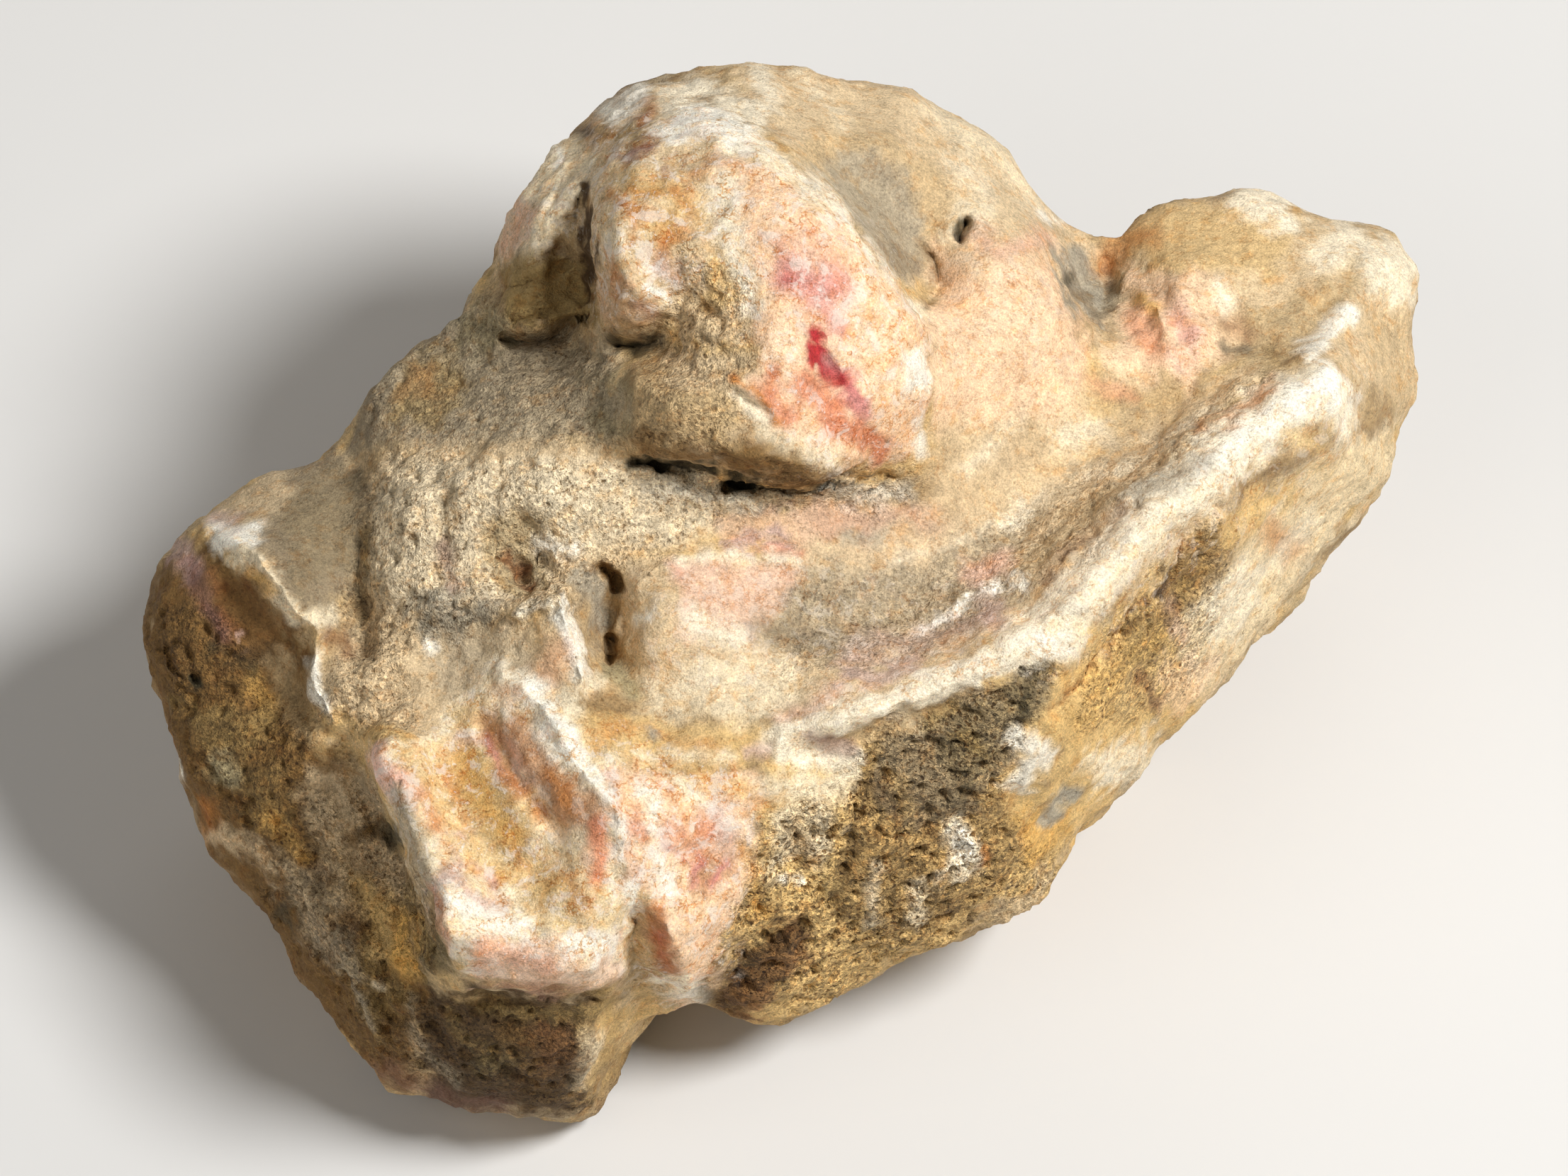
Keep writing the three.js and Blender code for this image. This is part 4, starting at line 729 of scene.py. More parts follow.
    [[(-3.4, 2.3), (-0.6, 3.2), (0.4, 2.4), (-2, 2.1)], "lilac", 0.35, 0.4, 0.9],
    [[(-1.4, 2.1), (1, 2.1)], "coral", 0.2, 0.4, 0.7],
    [[(4, 3), (5.4, 2.8)], "smoke", 0.5, 0.6, 0.7],
    [[(-5.6, 2), (-2, 1.8), (0.4, 1.6)], "cream", 0.3, 0.5, 0.8],
    [[(3, -6), (1, -7), (-0.4, -7.4)], "shell", 0.5, 0.7, 0.5],
    # around the slit
    # painted shade in the slit and the hole at its top
    [[(-10.7, 1.2), (-10, 0.7), (-9.7, 0)], "brown", 0.4, 0.3, 1],
    [[(-9.7, -0.3), (-9.95, -1.6), (-10.2, -3), (-10.35, -4)], "brown", 0.15, 0.25, 1],
    [[(-12, 0.8), (-11, 0), (-10.8, -2)], "smoke", 0.6, 0.5, 0.8],
    [[(-13.2, -0.6), (-12.5, -2.6), (-11.8, -5)], "white", 0.55, 0.45, 1],
    [[(-15.4, -1.5), (-13.6, -0.6)], "cream", 0.3, 0.4, 0.9],
    [[(-11.8, -5.6), (-10.9, -5.6)], "ivory", 0.5, 0.5, 0.9],
    [[(-10, -5), (-9, -5.8)], "sage", 0.7, 0.5, 0.95],
    [[(-14.2, 2.4), (-12.4, 2.2)], "white", 0.4, 0.5, 0.8],
    # painted shade along the crease
    [[(-15.8, 1.7), (-15.2, 1.1), (-14.8, 0.4)], "chestnut", 0.25, 0.3, 0.9],
    [[(-19.8, 6.8), (-19.8, 4), (-20, 1)], "ash", 0.4, 0.7, 0.5],
    [[(-19.6, 2.4), (-19.4, 0.4)], "mauve", 0.4, 0.6, 0.5],
    [[(-20.8, -3.4), (-20.4, -3.5)], "white", 0.2, 0.25, 0.9],
    [[(-24.2, 3), (-24.6, -0.6), (-24.4, -3.8)], "sootAndShade", 0.4, 0.7, 0.5],
    [[(-22, -0.4), (-20.6, -2), (-17, -2)], "sootAndShade", 0.3, 0.9, 0.5],
    [[(-13, -3.6), (-14.4, -5.4), (-16, -6)], "coral", 0.7, 1, 0.35],
    # left lump
    [[(-33, 2.9), (-31, 3.1)], "white", 0.6, 0.45, 1],
    [[(-32, 2), (-30.4, 1.2), (-29.4, -0.4), (-28.6, -1.4)], "ivory", 0.55, 0.4, 0.95],
    [[(-31.2, 1), (-30, -0.2)], "gold", 0.3, 0.4, 0.7],
    [[(-28.4, -1.5), (-26.4, -1.6)], "ivory", 0.5, 0.45, 0.9],
    [[(-35.4, 2.4), (-34.6, 1)], "lilac", 0.6, 0.6, 0.8],
    [[(-34.8, 1.4), (-33.8, -0.6), (-32.6, -3)], "mauve", 0.4, 0.8, 0.7],
    [[(-33.6, 1.2), (-32.8, -1), (-32, -2.6)], "chestnut", 0.2, 0.5, 0.7],
    [[(-32, -2.8), (-31.6, -3.8)], "lilac", 0.12, 0.25, 0.9],
    [[(-33.2, 4), (-32, 3.8)], "lilac", 0.4, 0.6, 0.6],
    [[(-27, -2.6), (-27.4, -4)], "ivory", 0.2, 0.25, 0.9],
    [[(-27.6, -4.4), (-27.5, -6), (-26.6, -7.2)], "white", 0.35, 0.35, 0.95],
    [[(-29.4, -4.4), (-29, -6.6), (-27.4, -8.6)], "tan", 0.7, 0.7, 0.7],
    [[(-26.6, -2.8), (-25.4, -3.2)], "chestnut", 0.6, 0.6, 0.7],
    # painted shade in the small hole and the crease beside it
    [[(-34.6, -5.2), (-34.3, -5.3)], "sootAndShade", 0.2, 0.2, 1],
    [[(-36.4, -3.4), (-35.8, -4.8), (-35, -5.3)], "umber", 0.12, 0.3, 0.7],
    [[(-31, -5.6), (-30, -6.6)], "gold", 0.5, 0.9, 0.5],
    [[(-33.4, -3.6), (-31, -4.8)], "sootAndShade", 0.25, 0.6, 0.7],
    [[(-34.6, -8.6), (-32, -8)], "umber", 0.2, 0.6, 0.5],
    [[(-35, -13), (-32.6, -17), (-29.6, -21)], "sand", 0.25, 0.7, 0.6],
    [[(-37, -7.4), (-36.4, -9)], "amber", 0.3, 0.5, 0.7],
    [[(-36, -10.2), (-35.4, -11)], "white", 0.3, 0.4, 0.8],
    # lower left flank
    [[(-32.8, -10.4), (-32.2, -11)], "sage", 0.7, 0.6, 0.9],
    [[(-33.6, -12.6), (-33.2, -14.4)], "amber", 0.4, 0.6, 0.6],
    [[(-33, -14.4), (-31, -15.4), (-29.8, -16.8)], "sand", 0.4, 0.5, 0.8],
    [[(-29.6, -16.6), (-28.2, -18), (-27.8, -19.6)], "sand", 0.3, 0.5, 0.6],
    [[(-28, -20.4), (-26, -20.6), (-25.4, -21.6)], "grey", 0.4, 0.6, 0.5],
    [[(-30, -13.4), (-28.8, -15.6)], "gold", 0.7, 0.8, 0.5],
    [[(-29.4, -18.6), (-28.6, -20)], "sootAndShade", 0.3, 0.5, 0.7],
    [[(-27.4, -16.4), (-25.6, -17.8), (-25, -20)], "chestnut", 0.5, 0.7, 0.3],
    [[(-27.2, -12), (-26.4, -15), (-25.6, -17.6)], "sand", 0.9, 0.9, 0.6],
    [[(-24.6, -17.6), (-23, -19.2), (-23.4, -20.6)], "ochre", 0.9, 0.8, 0.8],
    [[(-22, -17.6), (-21, -20.4)], "olive", 0.4, 0.6, 0.6],
    # painted shade, deepest in the gully
    [[(-23.2, -14.4), (-22.8, -14.6)], "sootAndShade", 0.7, 0.8, 0.9],
    [[(-24, -23), (-23.6, -23.4)], "ivory", 0.3, 0.3, 0.7],
    [[(-25.6, -22.6), (-24, -25.4)], "grey", 0.25, 0.5, 0.8],
    [[(-22, -24.4), (-21.2, -26.6), (-19, -28.8)], "grey", 0.2, 0.6, 0.6],
    [[(-19.6, -24.6), (-18.8, -26.4), (-17, -27.2)], "olive", 0.15, 0.5, 0.6],
    [[(-15.8, -25.4), (-15, -27)], "olive", 0.1, 0.5, 0.5],
    [[(-22.2, -19.6), (-21.9, -22.6)], "gold", 0.6, 0.7, 1],
    [[(-23.6, -28.2), (-20, -29.6), (-16.4, -30.4)], "mauve", 0.5, 0.8, 0.35],
    [[(-11, -26.4), (-11.3, -27.6), (-11.8, -29)], "ivory", 0.4, 1, 0.7],
    [[(-17.6, -24.4), (-14, -25), (-10, -24.5)], "olive", 0.4, 0.6, 0.7],
    [[(-16, -26.2), (-14.4, -28.4)], "brown", 0.8, 1, 0.5],
    # pink block
    [[(-23.4, -10), (-22.2, -11.8)], "shell", 0.7, 0.5, 1],
    [[(-22.2, -11.8), (-21.3, -15), (-20.4, -18)], "grey", 0.5, 0.5, 0.9],
    [[(-20.4, -17.6), (-20, -19.4), (-19.4, -20.6)], "coral", 0.3, 0.4, 0.6],
    [[(-19.4, -16.4), (-18.6, -18), (-17, -18.8)], "lilac", 0.8, 0.7, 0.8],
    [[(-19.4, -17.6), (-18.4, -18.8), (-16.4, -19.6), (-15, -19.8)], "white", 0.6, 0.5, 0.85],
    [[(-12, -20.8), (-10.4, -20.8)], "white", 0.8, 0.7, 0.9],
    [[(-17.6, -21), (-14, -21.8)], "coral", 0.7, 1, 0.5],
    [[(-17, -23), (-12, -23.4)], "rust", 0.2, 0.5, 0.6],
    [[(-13.6, -19.6), (-11, -19.6)], "ochre", 0.4, 0.6, 0.6],
    [[(-22, -10.6), (-20.6, -13.4), (-19.8, -15)], "coral", 0.3, 0.7, 0.6],
    [[(-20, -10.4), (-19, -12.4), (-18.6, -14.6)], "amber", 0.12, 0.4, 0.7],
    [[(-16, -15), (-14.4, -17)], "amber", 0.12, 0.4, 0.7],
    [[(-6.6, -12), (-5.4, -13.2), (-5, -14.6)], "amber", 0.12, 0.4, 0.6],
    [[(-18.4, -16.2), (-16.4, -17), (-15.8, -17.4)], "gold", 0.3, 0.4, 0.9],
    [[(-19, -8.6), (-18, -8.8)], "lilac", 0.5, 0.5, 0.7],
    [[(-17.2, -7.8), (-16.6, -9.2), (-15.4, -11.2)], "rust", 0.7, 0.7, 0.6],
    [[(-17.6, -8.4), (-16.6, -10.4)], "rose", 0.2, 0.4, 0.7],
    [[(-15.6, -8.4), (-14.2, -10.6), (-12.6, -12.6), (-11, -13.6)], "rust", 1.1, 0.9, 0.75],
    [[(-16, -8.8), (-15.2, -10.4), (-14.4, -11.4)], "shell", 0.3, 0.7, 0.7],
    [[(-13.4, -11), (-12, -12.8)], "amber", 0.35, 0.6, 0.7],
    [[(-16.4, -10.6), (-15.3, -11.9)], "rust", 0.5, 0.6, 0.8],
    [[(-14.6, -12.6), (-13.2, -14.2)], "amber", 0.5, 0.7, 0.7],
    [[(-10.8, -14), (-10.7, -16.4)], "coral", 0.65, 0.6, 0.9],
    [[(-12.6, -16.6), (-11.6, -18.4)], "rust", 0.5, 0.8, 0.5],
    [[(-13.6, -14.6), (-12, -16)], "ivory", 0.9, 0.8, 0.6],
    [[(-18.8, -10), (-17.4, -12.4), (-15.8, -14.4)], "gold", 0.8, 0.9, 0.7],
    [[(-19.6, -15.8), (-18, -16.2), (-17, -17.2)], "lilac", 0.2, 0.3, 0.8],
    [[(-20, -14), (-18.4, -14.8)], "lilac", 0.15, 0.3, 0.7],
    [[(-15, -10.8), (-14.6, -11)], "cream", 0.3, 0.3, 0.8],
    [[(-16.4, -5), (-14.8, -5.6)], "cream", 0.5, 0.4, 0.95],
    [[(-14.8, -6), (-13.6, -7.8), (-12.2, -9.8)], "white", 0.75, 0.5, 1],
    [[(-14.4, -7.6), (-13.2, -9.2)], "white", 0.5, 0.5, 1],
    [[(-12, -10.2), (-10.6, -11.4), (-10, -12.2)], "white", 0.5, 0.4, 1],
    [[(-10.2, -11), (-9.4, -13), (-9, -15), (-8.9, -17)], "lilac", 0.45, 0.5, 0.55],
    [[(-9.6, -13.4), (-9.4, -15.6)], "white", 0.5, 0.5, 0.8],
    [[(-8, -11.6), (-7.6, -13.6), (-7, -14)], "white", 0.5, 0.5, 0.9],
    [[(-6, -11), (-4.6, -12.4), (-3.4, -13.6)], "cream", 0.4, 0.5, 0.8],
    [[(-5.4, -10.8), (-2.6, -11.6)], "gold", 0.5, 0.7, 0.6],
    [[(-8.6, -12.6), (-8.2, -14.6)], "coral", 0.2, 0.4, 0.7],
    [[(-7, -15), (-5.6, -16)], "rose", 0.25, 0.4, 0.7],
    [[(-4, -13), (-3, -15)], "lilac", 0.7, 0.8, 0.7],
    [[(-6.6, -14), (-5, -15.4), (-4.4, -14)], "coral", 0.7, 0.8, 0.65],
    [[(-7.6, -15.6), (-6.4, -17.6)], "white", 0.4, 0.5, 0.9],
    [[(-8.6, -18.6), (-8.6, -17.6)], "white", 0.5, 0.4, 0.9],
    [[(-5, -17.4), (-4.2, -16.4), (-3.2, -16.2)], "rust", 0.5, 0.5, 0.6],
    [[(-5.4, -17.2), (-4.8, -15.8)], "rose", 0.15, 0.3, 0.8],
    [[(-4.2, -17.4), (-3.6, -16)], "rose", 0.15, 0.3, 0.8],
    [[(-4.6, -17.2), (-3.8, -16.8)], "crimson", 0.12, 0.5, 0.4],
    [[(-7.6, -19), (-7.2, -20.6), (-6.8, -22.2)], "rust", 0.65, 0.4, 0.95],
    [[(-7.3, -20), (-7, -21.8)], "crimson", 0.2, 0.5, 0.35],
    [[(-8.2, -19), (-8.2, -22.8)], "tan", 0.4, 0.4, 0.6],
    [[(-7, -23.2), (-4.8, -23.8)], "cream", 0.6, 0.5, 0.9],
    [[(-11, -8.4), (-8, -8.4), (-4, -9.4)], "amber", 0.2, 0.6, 0.4],
    [[(-10.4, -9.8), (-7, -9.6), (-3, -9.9)], "ivory", 0.3, 0.5, 0.7],
    [[(-7.8, -8.6), (-7.6, -9)], "smoke", 0.3, 0.3, 0.9],
    [[(-2, -9.6), (-1, -9.2)], "lilac", 0.4, 0.4, 0.7],
    # lower right flank
    [[(-0.6, -8.6), (0.4, -9.6), (4, -10.2)], "cream", 0.7, 0.5, 0.95],
    [[(-1, -11.4), (1.6, -11.6), (3.6, -11)], "ivory", 0.6, 0.7, 0.8],
    [[(1.8, -9), (3.8, -9.6)], "mauve", 0.5, 0.5, 0.6],
    [[(3, 5.5), (6.6, 5.6)], "white", 0.6, 0.8, 0.45],
    # painted shade in the crevice under the crown's right lip
    [[(2.6, 6.2), (4.4, 6), (6, 6.4)], "sootAndShade", 0.12, 0.35, 0.8],
    [[(1.2, 5), (3, 5)], "sootAndShade", 0.05, 0.35, 0.7],
    [[(7.4, -7.8), (8.4, -8.4)], "grey", 0.5, 0.6, 0.6],
    [[(13.4, -6), (14.2, -5.2), (15, -4.6)], "sootAndShade", 0.5, 0.6, 0.5],
    [[(14, -6), (13.8, -7.4)], "sootAndShade", 0.4, 0.5, 0.8],
    [[(9, -8), (11, -10), (10, -13)], "sootAndShade", 0.5, 1.2, 0.35],
    [[(8.4, -7.6), (9.6, -7)], "olive", 0.5, 0.7, 0.7],
    [[(6.4, -11.2), (7.2, -13)], "ochre", 0.35, 0.7, 0.7],
    [[(10.4, -8.2), (11.6, -9.6)], "olive", 0.4, 0.7, 0.8],
    [[(8.2, -14.2), (9.6, -15)], "brown", 0.4, 0.6, 0.7],
    [[(12.2, -12.8), (13.4, -11.8)], "brown", 0.3, 0.6, 0.8],
    [[(0.6, -14), (1.4, -16)], "brown", 0.35, 0.8, 0.7],
    [[(2.6, -16.4), (3.2, -18), (5, -20)], "olive", 0.6, 1, 0.5],
    [[(8, -19.6), (10.4, -18.8)], "brown", 0.4, 0.8, 0.5],
    [[(5.2, -11.6), (6.4, -12.4)], "umber", 0.7, 1, 0.6],
    [[(0, -13), (-0.6, -17)], "ivory", 0.5, 0.9, 0.5],
    [[(2.2, -13), (2, -16)], "ivory", 0.4, 0.8, 0.5],
    [[(0.2, -17.3), (1, -17.3)], "white", 0.2, 0.25, 0.9],
    [[(-1.4, -18), (-0.4, -19.4)], "brown", 0.5, 0.7, 0.7],
    # painted shade in the hollow at the foot of the flank
    [[(-3.4, -22.6), (-1, -20.8), (1, -20.2)], "umber", 0.7, 0.8, 0.7],
    [[(-4.4, -24), (-3, -24.8)], "umber", 0.7, 0.8, 0.7],
    [[(-2, -22.6), (0, -23)], "umber", 0.6, 0.8, 0.5],
    [[(3, -22), (6, -21)], "ochre", 0.7, 1, 0.5],
    [[(13.6, -8.6), (15, -9.6), (13.6, -11.4)], "white", 0.7, 0.6, 0.85],
    [[(10, -14.5), (10.9, -15.3), (10.5, -16.3)], "cream", 0.75, 0.6, 0.95],
    [[(10.1, -14.6), (10.8, -15.4)], "white", 0.5, 0.4, 0.9],
    [[(10.4, -16.6), (9, -17)], "cream", 0.35, 0.5, 0.7],
    # painted shade along a crease and a hollow of the flank
    [[(4, -13.4), (3.7, -19)], "umber", 0.3, 0.9, 0.6],
    [[(6.8, -15), (6.4, -19.6)], "umber", 0.2, 0.9, 0.6],
    [[(9, -18), (11, -19.6), (13, -18.6)], "umber", 0.25, 0.8, 0.5],
    [[(5.4, -16), (5, -19.6)], "cream", 0.15, 0.7, 0.6],
    [[(-2.4, -15), (-1.4, -19)], "gold", 0.3, 0.8, 0.6],
    [[(11.8, -15.1), (11.9, -16.2)], "amber", 0.15, 0.3, 0.9],
    [[(8, -17.6), (7.6, -19.2)], "ivory", 0.5, 0.5, 0.8],
    # right flank
    [[(15.4, -13.4), (16, -12.4), (17, -11.8)], "smoke", 0.35, 0.35, 0.95],
    [[(20.8, -4.8), (21.2, -5.8), (21.6, -7)], "chestnut", 0.3, 0.5, 0.7],
    [[(22.4, -1), (23.4, -2.6)], "shell", 0.5, 0.8, 0.4],
    [[(20.6, -2), (22.6, -1.6), (24, 0.4)], "brown", 0.3, 0.6, 0.6],
    [[(19.6, -3), (21, -1.6)], "brown", 0.25, 0.5, 0.7],
    # painted shade in the same crease
    [[(21.8, -0.2), (22.4, 1.2)], "umber", 0.3, 0.5, 0.8],
    [[(28.6, 3.2), (29.8, 2.2)], "amber", 0.7, 0.9, 0.6],
    [[(26.4, 3), (27.4, 4)], "ochre", 0.6, 0.8, 0.6],
    [[(26.4, 0.6), (28.6, 1.6), (31, 4)], "cream", 0.5, 0.8, 0.6],
    [[(18, -10.6), (20, -11.2)], "cream", 0.6, 0.8, 0.6],
    [[(17, -8), (18, -7)], "gold", 0.7, 1.4, 0.4],
]

print("stone: painting", len(lump.data.polygons), "faces")
places = meshPlaces(lump.data)
patchy = waves(places * 1000, 7.0, 6, 10)
veined = waves(places * 1000, 5.0, 6, 11)
skin = np.tile(linear(tints["tan"]), (len(places), 1))


def lay(mask, colour):
    skin[:] = skin + (linear(tints[colour]) - skin) * mask[:, None]


lay(smoothStep(patchy, 0, 0.4) * 0.8, "ochre")
lay(smoothStep(-patchy, 0.05, 0.5) * 0.6, "brown")
lay(smoothStep(veined, 0.2, 0.45) * 0.7, "sand")
lay(smoothStep(-veined, 0.15, 0.5) * 0.5, "grey")
for outline, colour, soft, strength in areas:
    reach = areaReach(local + warp, outline) + fray
    edge = 0.6 * soft
    lay(smoothStep(-reach, -edge, edge) * strength * front, colour)
for line, colour, width, soft, strength in streaks:
    ends = np.array(line)
    near = np.flatnonzero(closeTo(local, ends, width + soft + 2) & (front > 0))
    reach = lineReach(local[near] + warp[near] * 0.5, ends) + fray[near] * 0.6
    edge = 0.7 * soft
    mask = np.zeros(len(local))
    mask[near] = smoothStep(width - reach, -edge, edge) * strength * front[near]
    lay(mask, colour)


def keepOnMesh(name, *columns):  # as a colour at each point
    layer = lump.data.color_attributes.new(name, "FLOAT_COLOR", "POINT")
    layer.data.foreach_set("color", np.column_stack([*columns, np.ones(len(local))]).ravel())


keepOnMesh("skin", skin)
keepOnMesh("finish", crystal, granular, worn)
finishWith(lump, "DECIMATE", ratio=stone["thinned"])
setPlaces(lump.data, np.clip(meshPlaces(lump.data), np.array(low), np.array(high)))
print("stone: thinned to", len(lump.data.polygons), "faces")


class Wire:
    def __init__(self, bench, socket):
        self.bench = bench
        self.socket = socket

    def maths(self, operation, other, flipped=False):
        first, second = (other, self) if flipped else (self, other)
        return self.bench.add("ShaderNodeMath", {"operation": operation}, [first, second])

    def __add__(self, other):
        return self.maths("ADD", other)

    def __radd__(self, other):
        return self.maths("ADD", other, True)

    def __sub__(self, other):
        return self.maths("SUBTRACT", other)

    def __rsub__(self, other):
        return self.maths("SUBTRACT", other, True)

    def __mul__(self, other):
        return self.maths("MULTIPLY", other)

    def __rmul__(self, other):
        return self.maths("MULTIPLY", other, True)

    def __abs__(self):
        return self.bench.add("ShaderNodeMath", {"operation": "ABSOLUTE"}, [self])


class Bench:
    def __init__(self, name):
        self.material = bpy.data.materials.new(name)
        self.material.use_nodes = True
        self.tree = self.material.node_tree
        self.tree.nodes.clear()

    def add(self, kind, settings=None, sockets=(), output=0):
        node = self.tree.nodes.new(kind)
        for name, value in (settings or {}).items():
            setattr(node, name, value)
        pairs = sockets.items() if isinstance(sockets, dict) else enumerate(sockets)
        for name, value in pairs:
            if isinstance(value, Wire):
                self.tree.links.new(value.socket, node.inputs[name])
            else:
                node.inputs[name].default_value = value
        return Wire(self, node.outputs[output]) if node.outputs else None

    def shade(self, surface):
        shader = self.add("ShaderNodeBsdfPrincipled", {}, surface)
        self.add("ShaderNodeOutputMaterial", {}, {"Surface": shader})

    def between(self, value, start, end):
        sockets = {"Value": value, "From Min": start, "From Max": end}
        return self.add("ShaderNodeMapRange", {"interpolation_type": "SMOOTHSTEP"}, sockets)

    def grain(self, place, scale, detail=2.0, roughness=0.5):
        sockets = {"Vector": place, "Scale": scale, "Detail": detail, "Roughness": roughness}
        return self.add("ShaderNodeTexNoise", {}, sockets)

    def vector(self, operation, sockets):
        return self.add("ShaderNodeVectorMath", {"operation": operation}, sockets)

    def pushed(self, place, scale, reach):  # places moved about by a coarse grain
        colours = self.add("ShaderNodeTexNoise", {}, {"Vector": place, "Scale": scale, "Detail": 1.0}, 1)
        return self.vector("ADD", [place, self.vector("SCALE", {0: colours, "Scale": reach})])

    def grey(self, value):
        return self.add("ShaderNodeCombineColor", {}, [value, value, value])

    def firstOf(self, colours):  # their red share
        return self.add("ShaderNodeSeparateColor", {}, [colours])

    def cover(self, share, under, over, blend="MIX"):
        settings = {"data_type": "RGBA", "blend_type": blend}
        return self.add("ShaderNodeMix", settings, {0: share, 6: under, 7: over}, 2)


stoneLook = {
    "mottle": 0.9,  # how far light and dark patches go
    # pits: strength of the painted shade in the crust's pits
    "pits": 0.95,  # how dark the pits of the granular crust are
    # grains: how much the crust's grains are lightened, partly pale grains and partly painted glints
    "paleGrainsAndGlints": 0.5,
    "kernels": 0.7,  # how much light and dark grains of the crust differ
    "clouds": 0.45,  # white clouds in the crystal
    "stains": 0.5,
    "bump": 0.9,
    "bumpHeight": 0.0003,  # metres
    "ochreTint": (0.9, 0.66, 0.38, 1),
    "greyTint": (0.72, 0.72, 0.72, 1),
    "veinTint": (0.72, 0.46, 0.24, 1),
    "speckTint": (0.42, 0.32, 0.2, 1),
    # flecks: painted glints
    "fleckGlintTint": (1.3, 1.28, 1.24, 1),  # a tint over 1 lightens
    "blushTint": (0.96, 0.7, 0.64, 1),
    "crystalTint": (0.97, 0.8, 0.58, 1),
    "cloudTint": (0.93, 0.85, 0.75, 1),
    "glintTint": (0.97, 0.94, 0.9, 1),
    # lightens grains, partly as painted glints
    "grainAndGlintTint": (1.55, 1.5, 1.4, 1),
    # painted shade in the pits
    "pitShadeTint": (0.34, 0.26, 0.17, 1),
}

bench = Bench("stone")
place = bench.add("ShaderNodeTexCoord", {}, (), "Object")
place = bench.vector("SCALE", {0: place, "Scale": 1000.0})  # millimetres
colour = bench.add("ShaderNodeAttribute", {"attribute_name": "skin"})
crystalMask = bench.firstOf(bench.add("ShaderNodeAttribute", {"attribute_name": "finish"}))
granularMask = Wire(bench, crystalMask.socket.node.outputs[1])
wornMask = Wire(bench, crystalMask.socket.node.outputs[2])


def patches(scale, start, end, shift, detail=4.0, roughness=0.65):
    moved = bench.vector("ADD", [place, (shift, shift * 2, -shift)])
    return bench.between(bench.grain(moved, scale, detail, roughness), start, end)


def stain(share, tint):  # the colour so far, times a tint
    return bench.cover(share, colour, stoneLook[tint], "MULTIPLY")


# light and dark at four sizes
coarse = bench.grain(place, 0.4, 5.0, 0.65)
middling = bench.grain(place, 1.3, 4.0, 0.65)
fine = bench.grain(place, 4.5, 3.0, 0.65)
sugar = bench.grain(place, 9.0, 2.0, 0.6)
tone = (coarse - 0.5) * 0.6 + (middling - 0.5) * 0.9 + (fine - 0.5) * 1.1 + (sugar - 0.5) * 0.8
tone = 1 + stoneLook["mottle"] * tone
colour = bench.cover(1.0, colour, bench.grey(tone), "MULTIPLY")

# stains, veins and specks
colour = stain(patches(0.8, 0.52, 0.68, 11) * stoneLook["stains"], "ochreTint")
greyed = patches(0.55, 0.54, 0.7, 23) * (1 - crystalMask)
colour = stain(greyed * stoneLook["stains"], "greyTint")
vein = bench.between(abs(patches(0.75, 0, 1, 131, 5.0, 0.6) - 0.5), 0.05, 0.0)
vein = vein * patches(0.6, 0.45, 0.6, 149) * (0.4 + 0.6 * crystalMask)
colour = stain(vein, "veinTint")
specks = patches(4.2, 0.6, 0.68, 97, 1.0, 0.5) * patches(0.9, 0.42, 0.6, 103)
colour = stain(specks * (0.6 - 0.35 * wornMask), "speckTint")
# white flecks, painted glints
colour = stain(patches(3.8, 0.6, 0.68, 113, 1.0, 0.5) * 0.5, "fleckGlintTint")
colour = stain(patches(1.0, 0.52, 0.66, 37) * crystalMask * 0.35, "blushTint")

# clouds and glints of the crystal
swirl = bench.grain(bench.pushed(place, 0.7, 1.6), 0.8, 6.0, 0.68)
colour = stain(bench.between(swirl, 0.48, 0.4) * crystalMask * stoneLook["stains"], "crystalTint")
cloud = bench.between(swirl, 0.53, 0.6) * crystalMask * stoneLook["clouds"]
colour = bench.cover(cloud, colour, stoneLook["cloudTint"])
glint = patches(3.6, 0.63, 0.7, 64, 2.0) * crystalMask * 0.4
colour = bench.cover(glint, colour, stoneLook["glintTint"])

# grains of the crust, lighter partly as painted glints, and its pits, darkened as painted shade
colour = stain(patches(3.6, 0.52, 0.64, 72, 2.0) * granularMask * stoneLook["paleGrainsAndGlints"], "grainAndGlintTint")
jumbled = bench.pushed(place, 3.0, 0.35)
kernels = bench.firstOf(bench.add("ShaderNodeTexVoronoi", {}, {"Vector": jumbled, "Scale": 4.0}, "Color"))
kernels = (kernels - 0.5) * granularMask * stoneLook["kernels"] + 1
colour = bench.cover(1.0, colour, bench.grey(kernels), "MULTIPLY")
cell = {"Vector": jumbled, "Scale": 1.9}
holes = 1 - bench.between(bench.add("ShaderNodeTexVoronoi", {}, cell, "Distance"), 0.16, 0.34)
chance = bench.firstOf(bench.add("ShaderNodeTexVoronoi", {}, cell, "Color"))
holes = holes * bench.between(chance, 0.3, 0.4)  # not every grain has a hole
smallHoles = patches(5.0, 0.57, 0.66, 85, 2.0, 0.5)
crowd = bench.between(coarse, 0.36, 0.6) * 0.6 + 0.4
pits = (holes * 0.8 + smallHoles * 0.7) * granularMask * crowd
# painted shade in the pits
colour = stain(pits * stoneLook["pits"], "pitShadeTint")

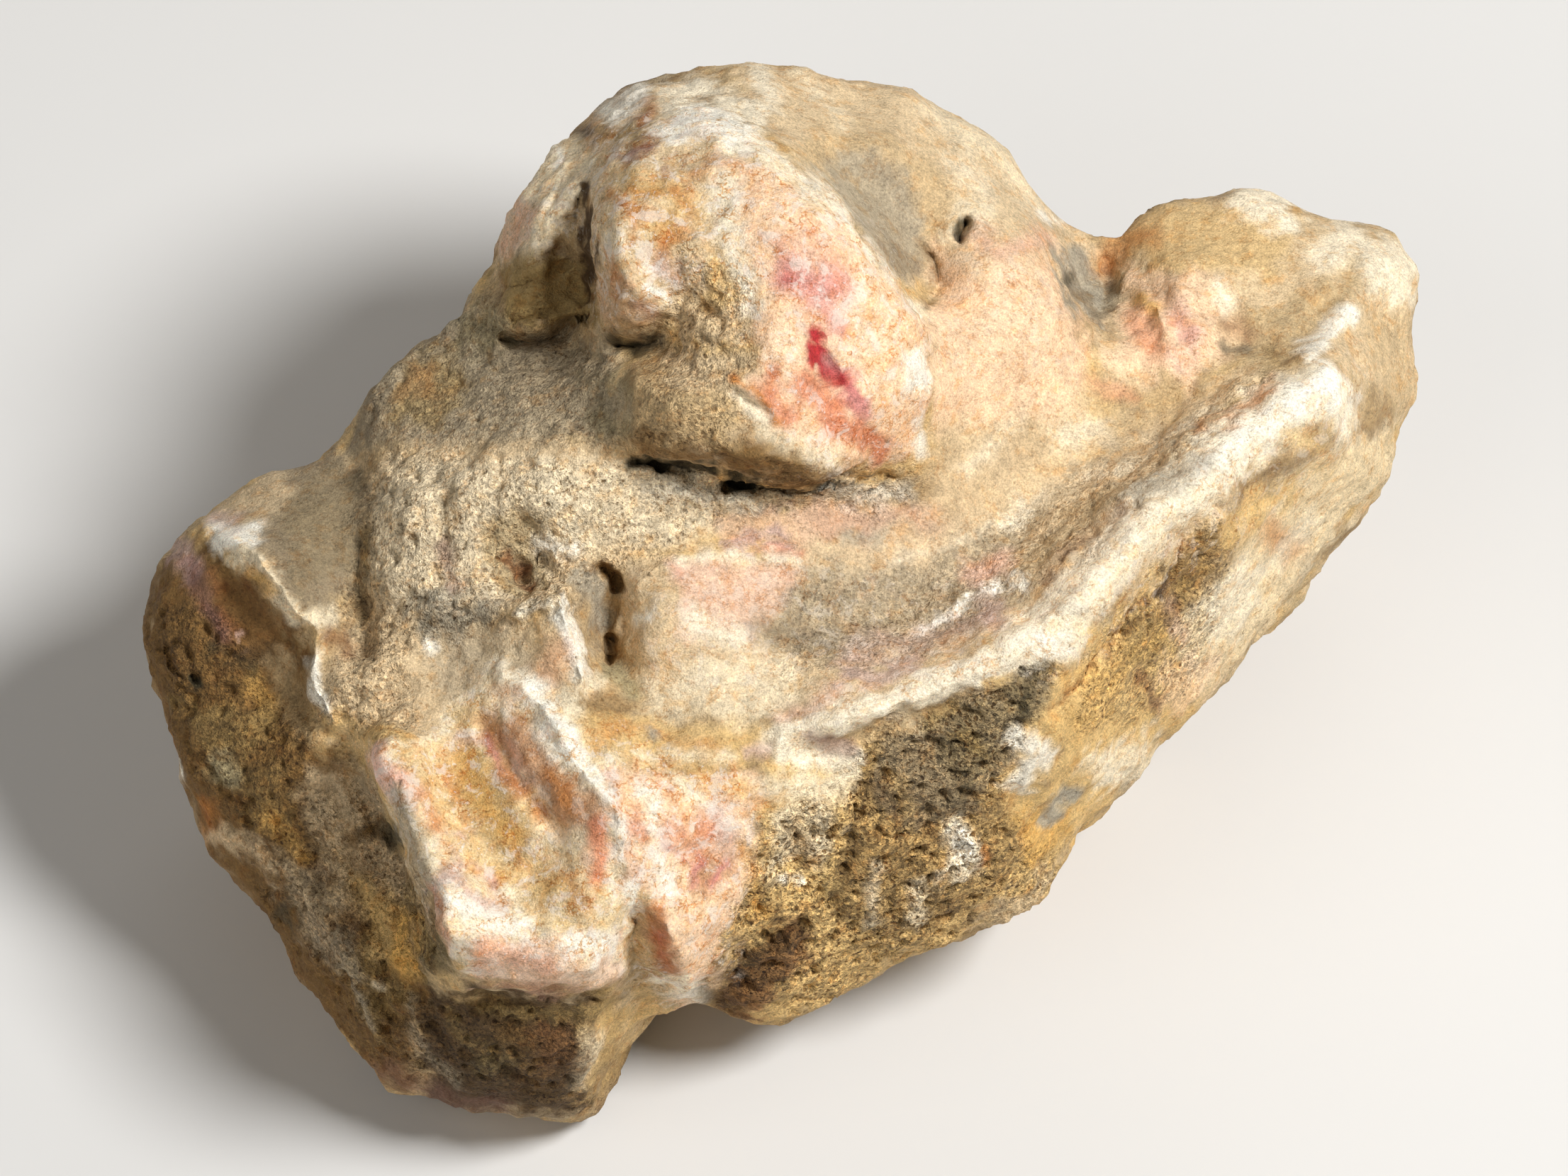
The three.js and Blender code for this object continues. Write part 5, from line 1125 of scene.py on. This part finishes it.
height = middling * 0.35 + fine * (0.2 + 0.35 * granularMask) + sugar * 0.15
height = height - pits * 0.45 + patches(3.6, 0.4, 0.7, 72, 2.0) * granularMask * 0.3
bump = {"Strength": stoneLook["bump"], "Distance": stoneLook["bumpHeight"], "Height": height}
glossy = crystalMask * bench.between(middling, 0.42, 0.58)
surface = {
    "Base Color": colour,
    "Roughness": 0.85 - 0.45 * glossy - 0.12 * wornMask,
    "Normal": bench.add("ShaderNodeBump", {}, bump),
    "Specular IOR Level": 0.35,
}
bench.shade(surface)
lump.data.materials.append(bench.material)

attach(lump, "root")
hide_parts(nodeName)

studio = {
    "floor": (0.74, 0.73, 0.71, 1),
    "floorSize": 3,  # metres
    "key": ((0.52, 0.3, 0.8), 0.6, 0.2, 3.9),  # direction on the show face, distance, size, watts
    "fill": ((-0.6, -0.1, 0.8), 0.8, 0.7, 1.3),
    "back": ((0.1, 1.0, -0.1), 0.8, 0.6, 0.9),
    "sky": ((1, 0.95, 0.87, 1), 0.13),  # colour, strength
    "lens": 1000,  # long and far off, so that nothing is foreshortened
    "sensor": 36,
    "frameWidth": 0.0916,  # metres across the view at the show face
}

print("scene: floor, light and camera")
bpy.ops.object.select_all(action="DESELECT")
bpy.ops.mesh.primitive_plane_add(size=studio["floorSize"], location=(0, 0, 0))
floor = bpy.context.active_object
floor.name = "floor"
floorBench = Bench("floor")
floorBench.shade({"Base Color": studio["floor"], "Roughness": 0.9, "Specular IOR Level": 0.2})
floor.data.materials.append(floorBench.material)


def lamp(name, direction, distance, size, power):
    aim = acrossAxis * direction[0] + upAxis * direction[1] + outAxis * direction[2]
    bpy.ops.object.light_add(type="AREA", location=faceMiddle + aim.normalized() * distance)
    light = bpy.context.active_object
    light.name = name
    light.data.shape = "DISK"
    light.data.size = size
    light.data.energy = power
    light.rotation_euler = aim.to_track_quat("Z", "Y").to_euler()


for name in ("key", "fill", "back"):
    lamp(name, *studio[name])
world = bpy.data.worlds.new("studio")
world.use_nodes = True
sky = world.node_tree.nodes["Background"].inputs
sky["Color"].default_value, sky["Strength"].default_value = studio["sky"]
bpy.context.scene.world = world
bpy.context.scene.view_settings.view_transform = "Standard"

distance = studio["lens"] / studio["sensor"] * studio["frameWidth"]
bpy.ops.object.camera_add(location=faceMiddle + outAxis * distance)
camera = bpy.context.active_object
camera.data.lens = studio["lens"]
camera.data.sensor_width = studio["sensor"]
camera.data.clip_end = 10  # metres
camera.rotation_euler = (lean, 0, 0)
bpy.context.scene.camera = camera
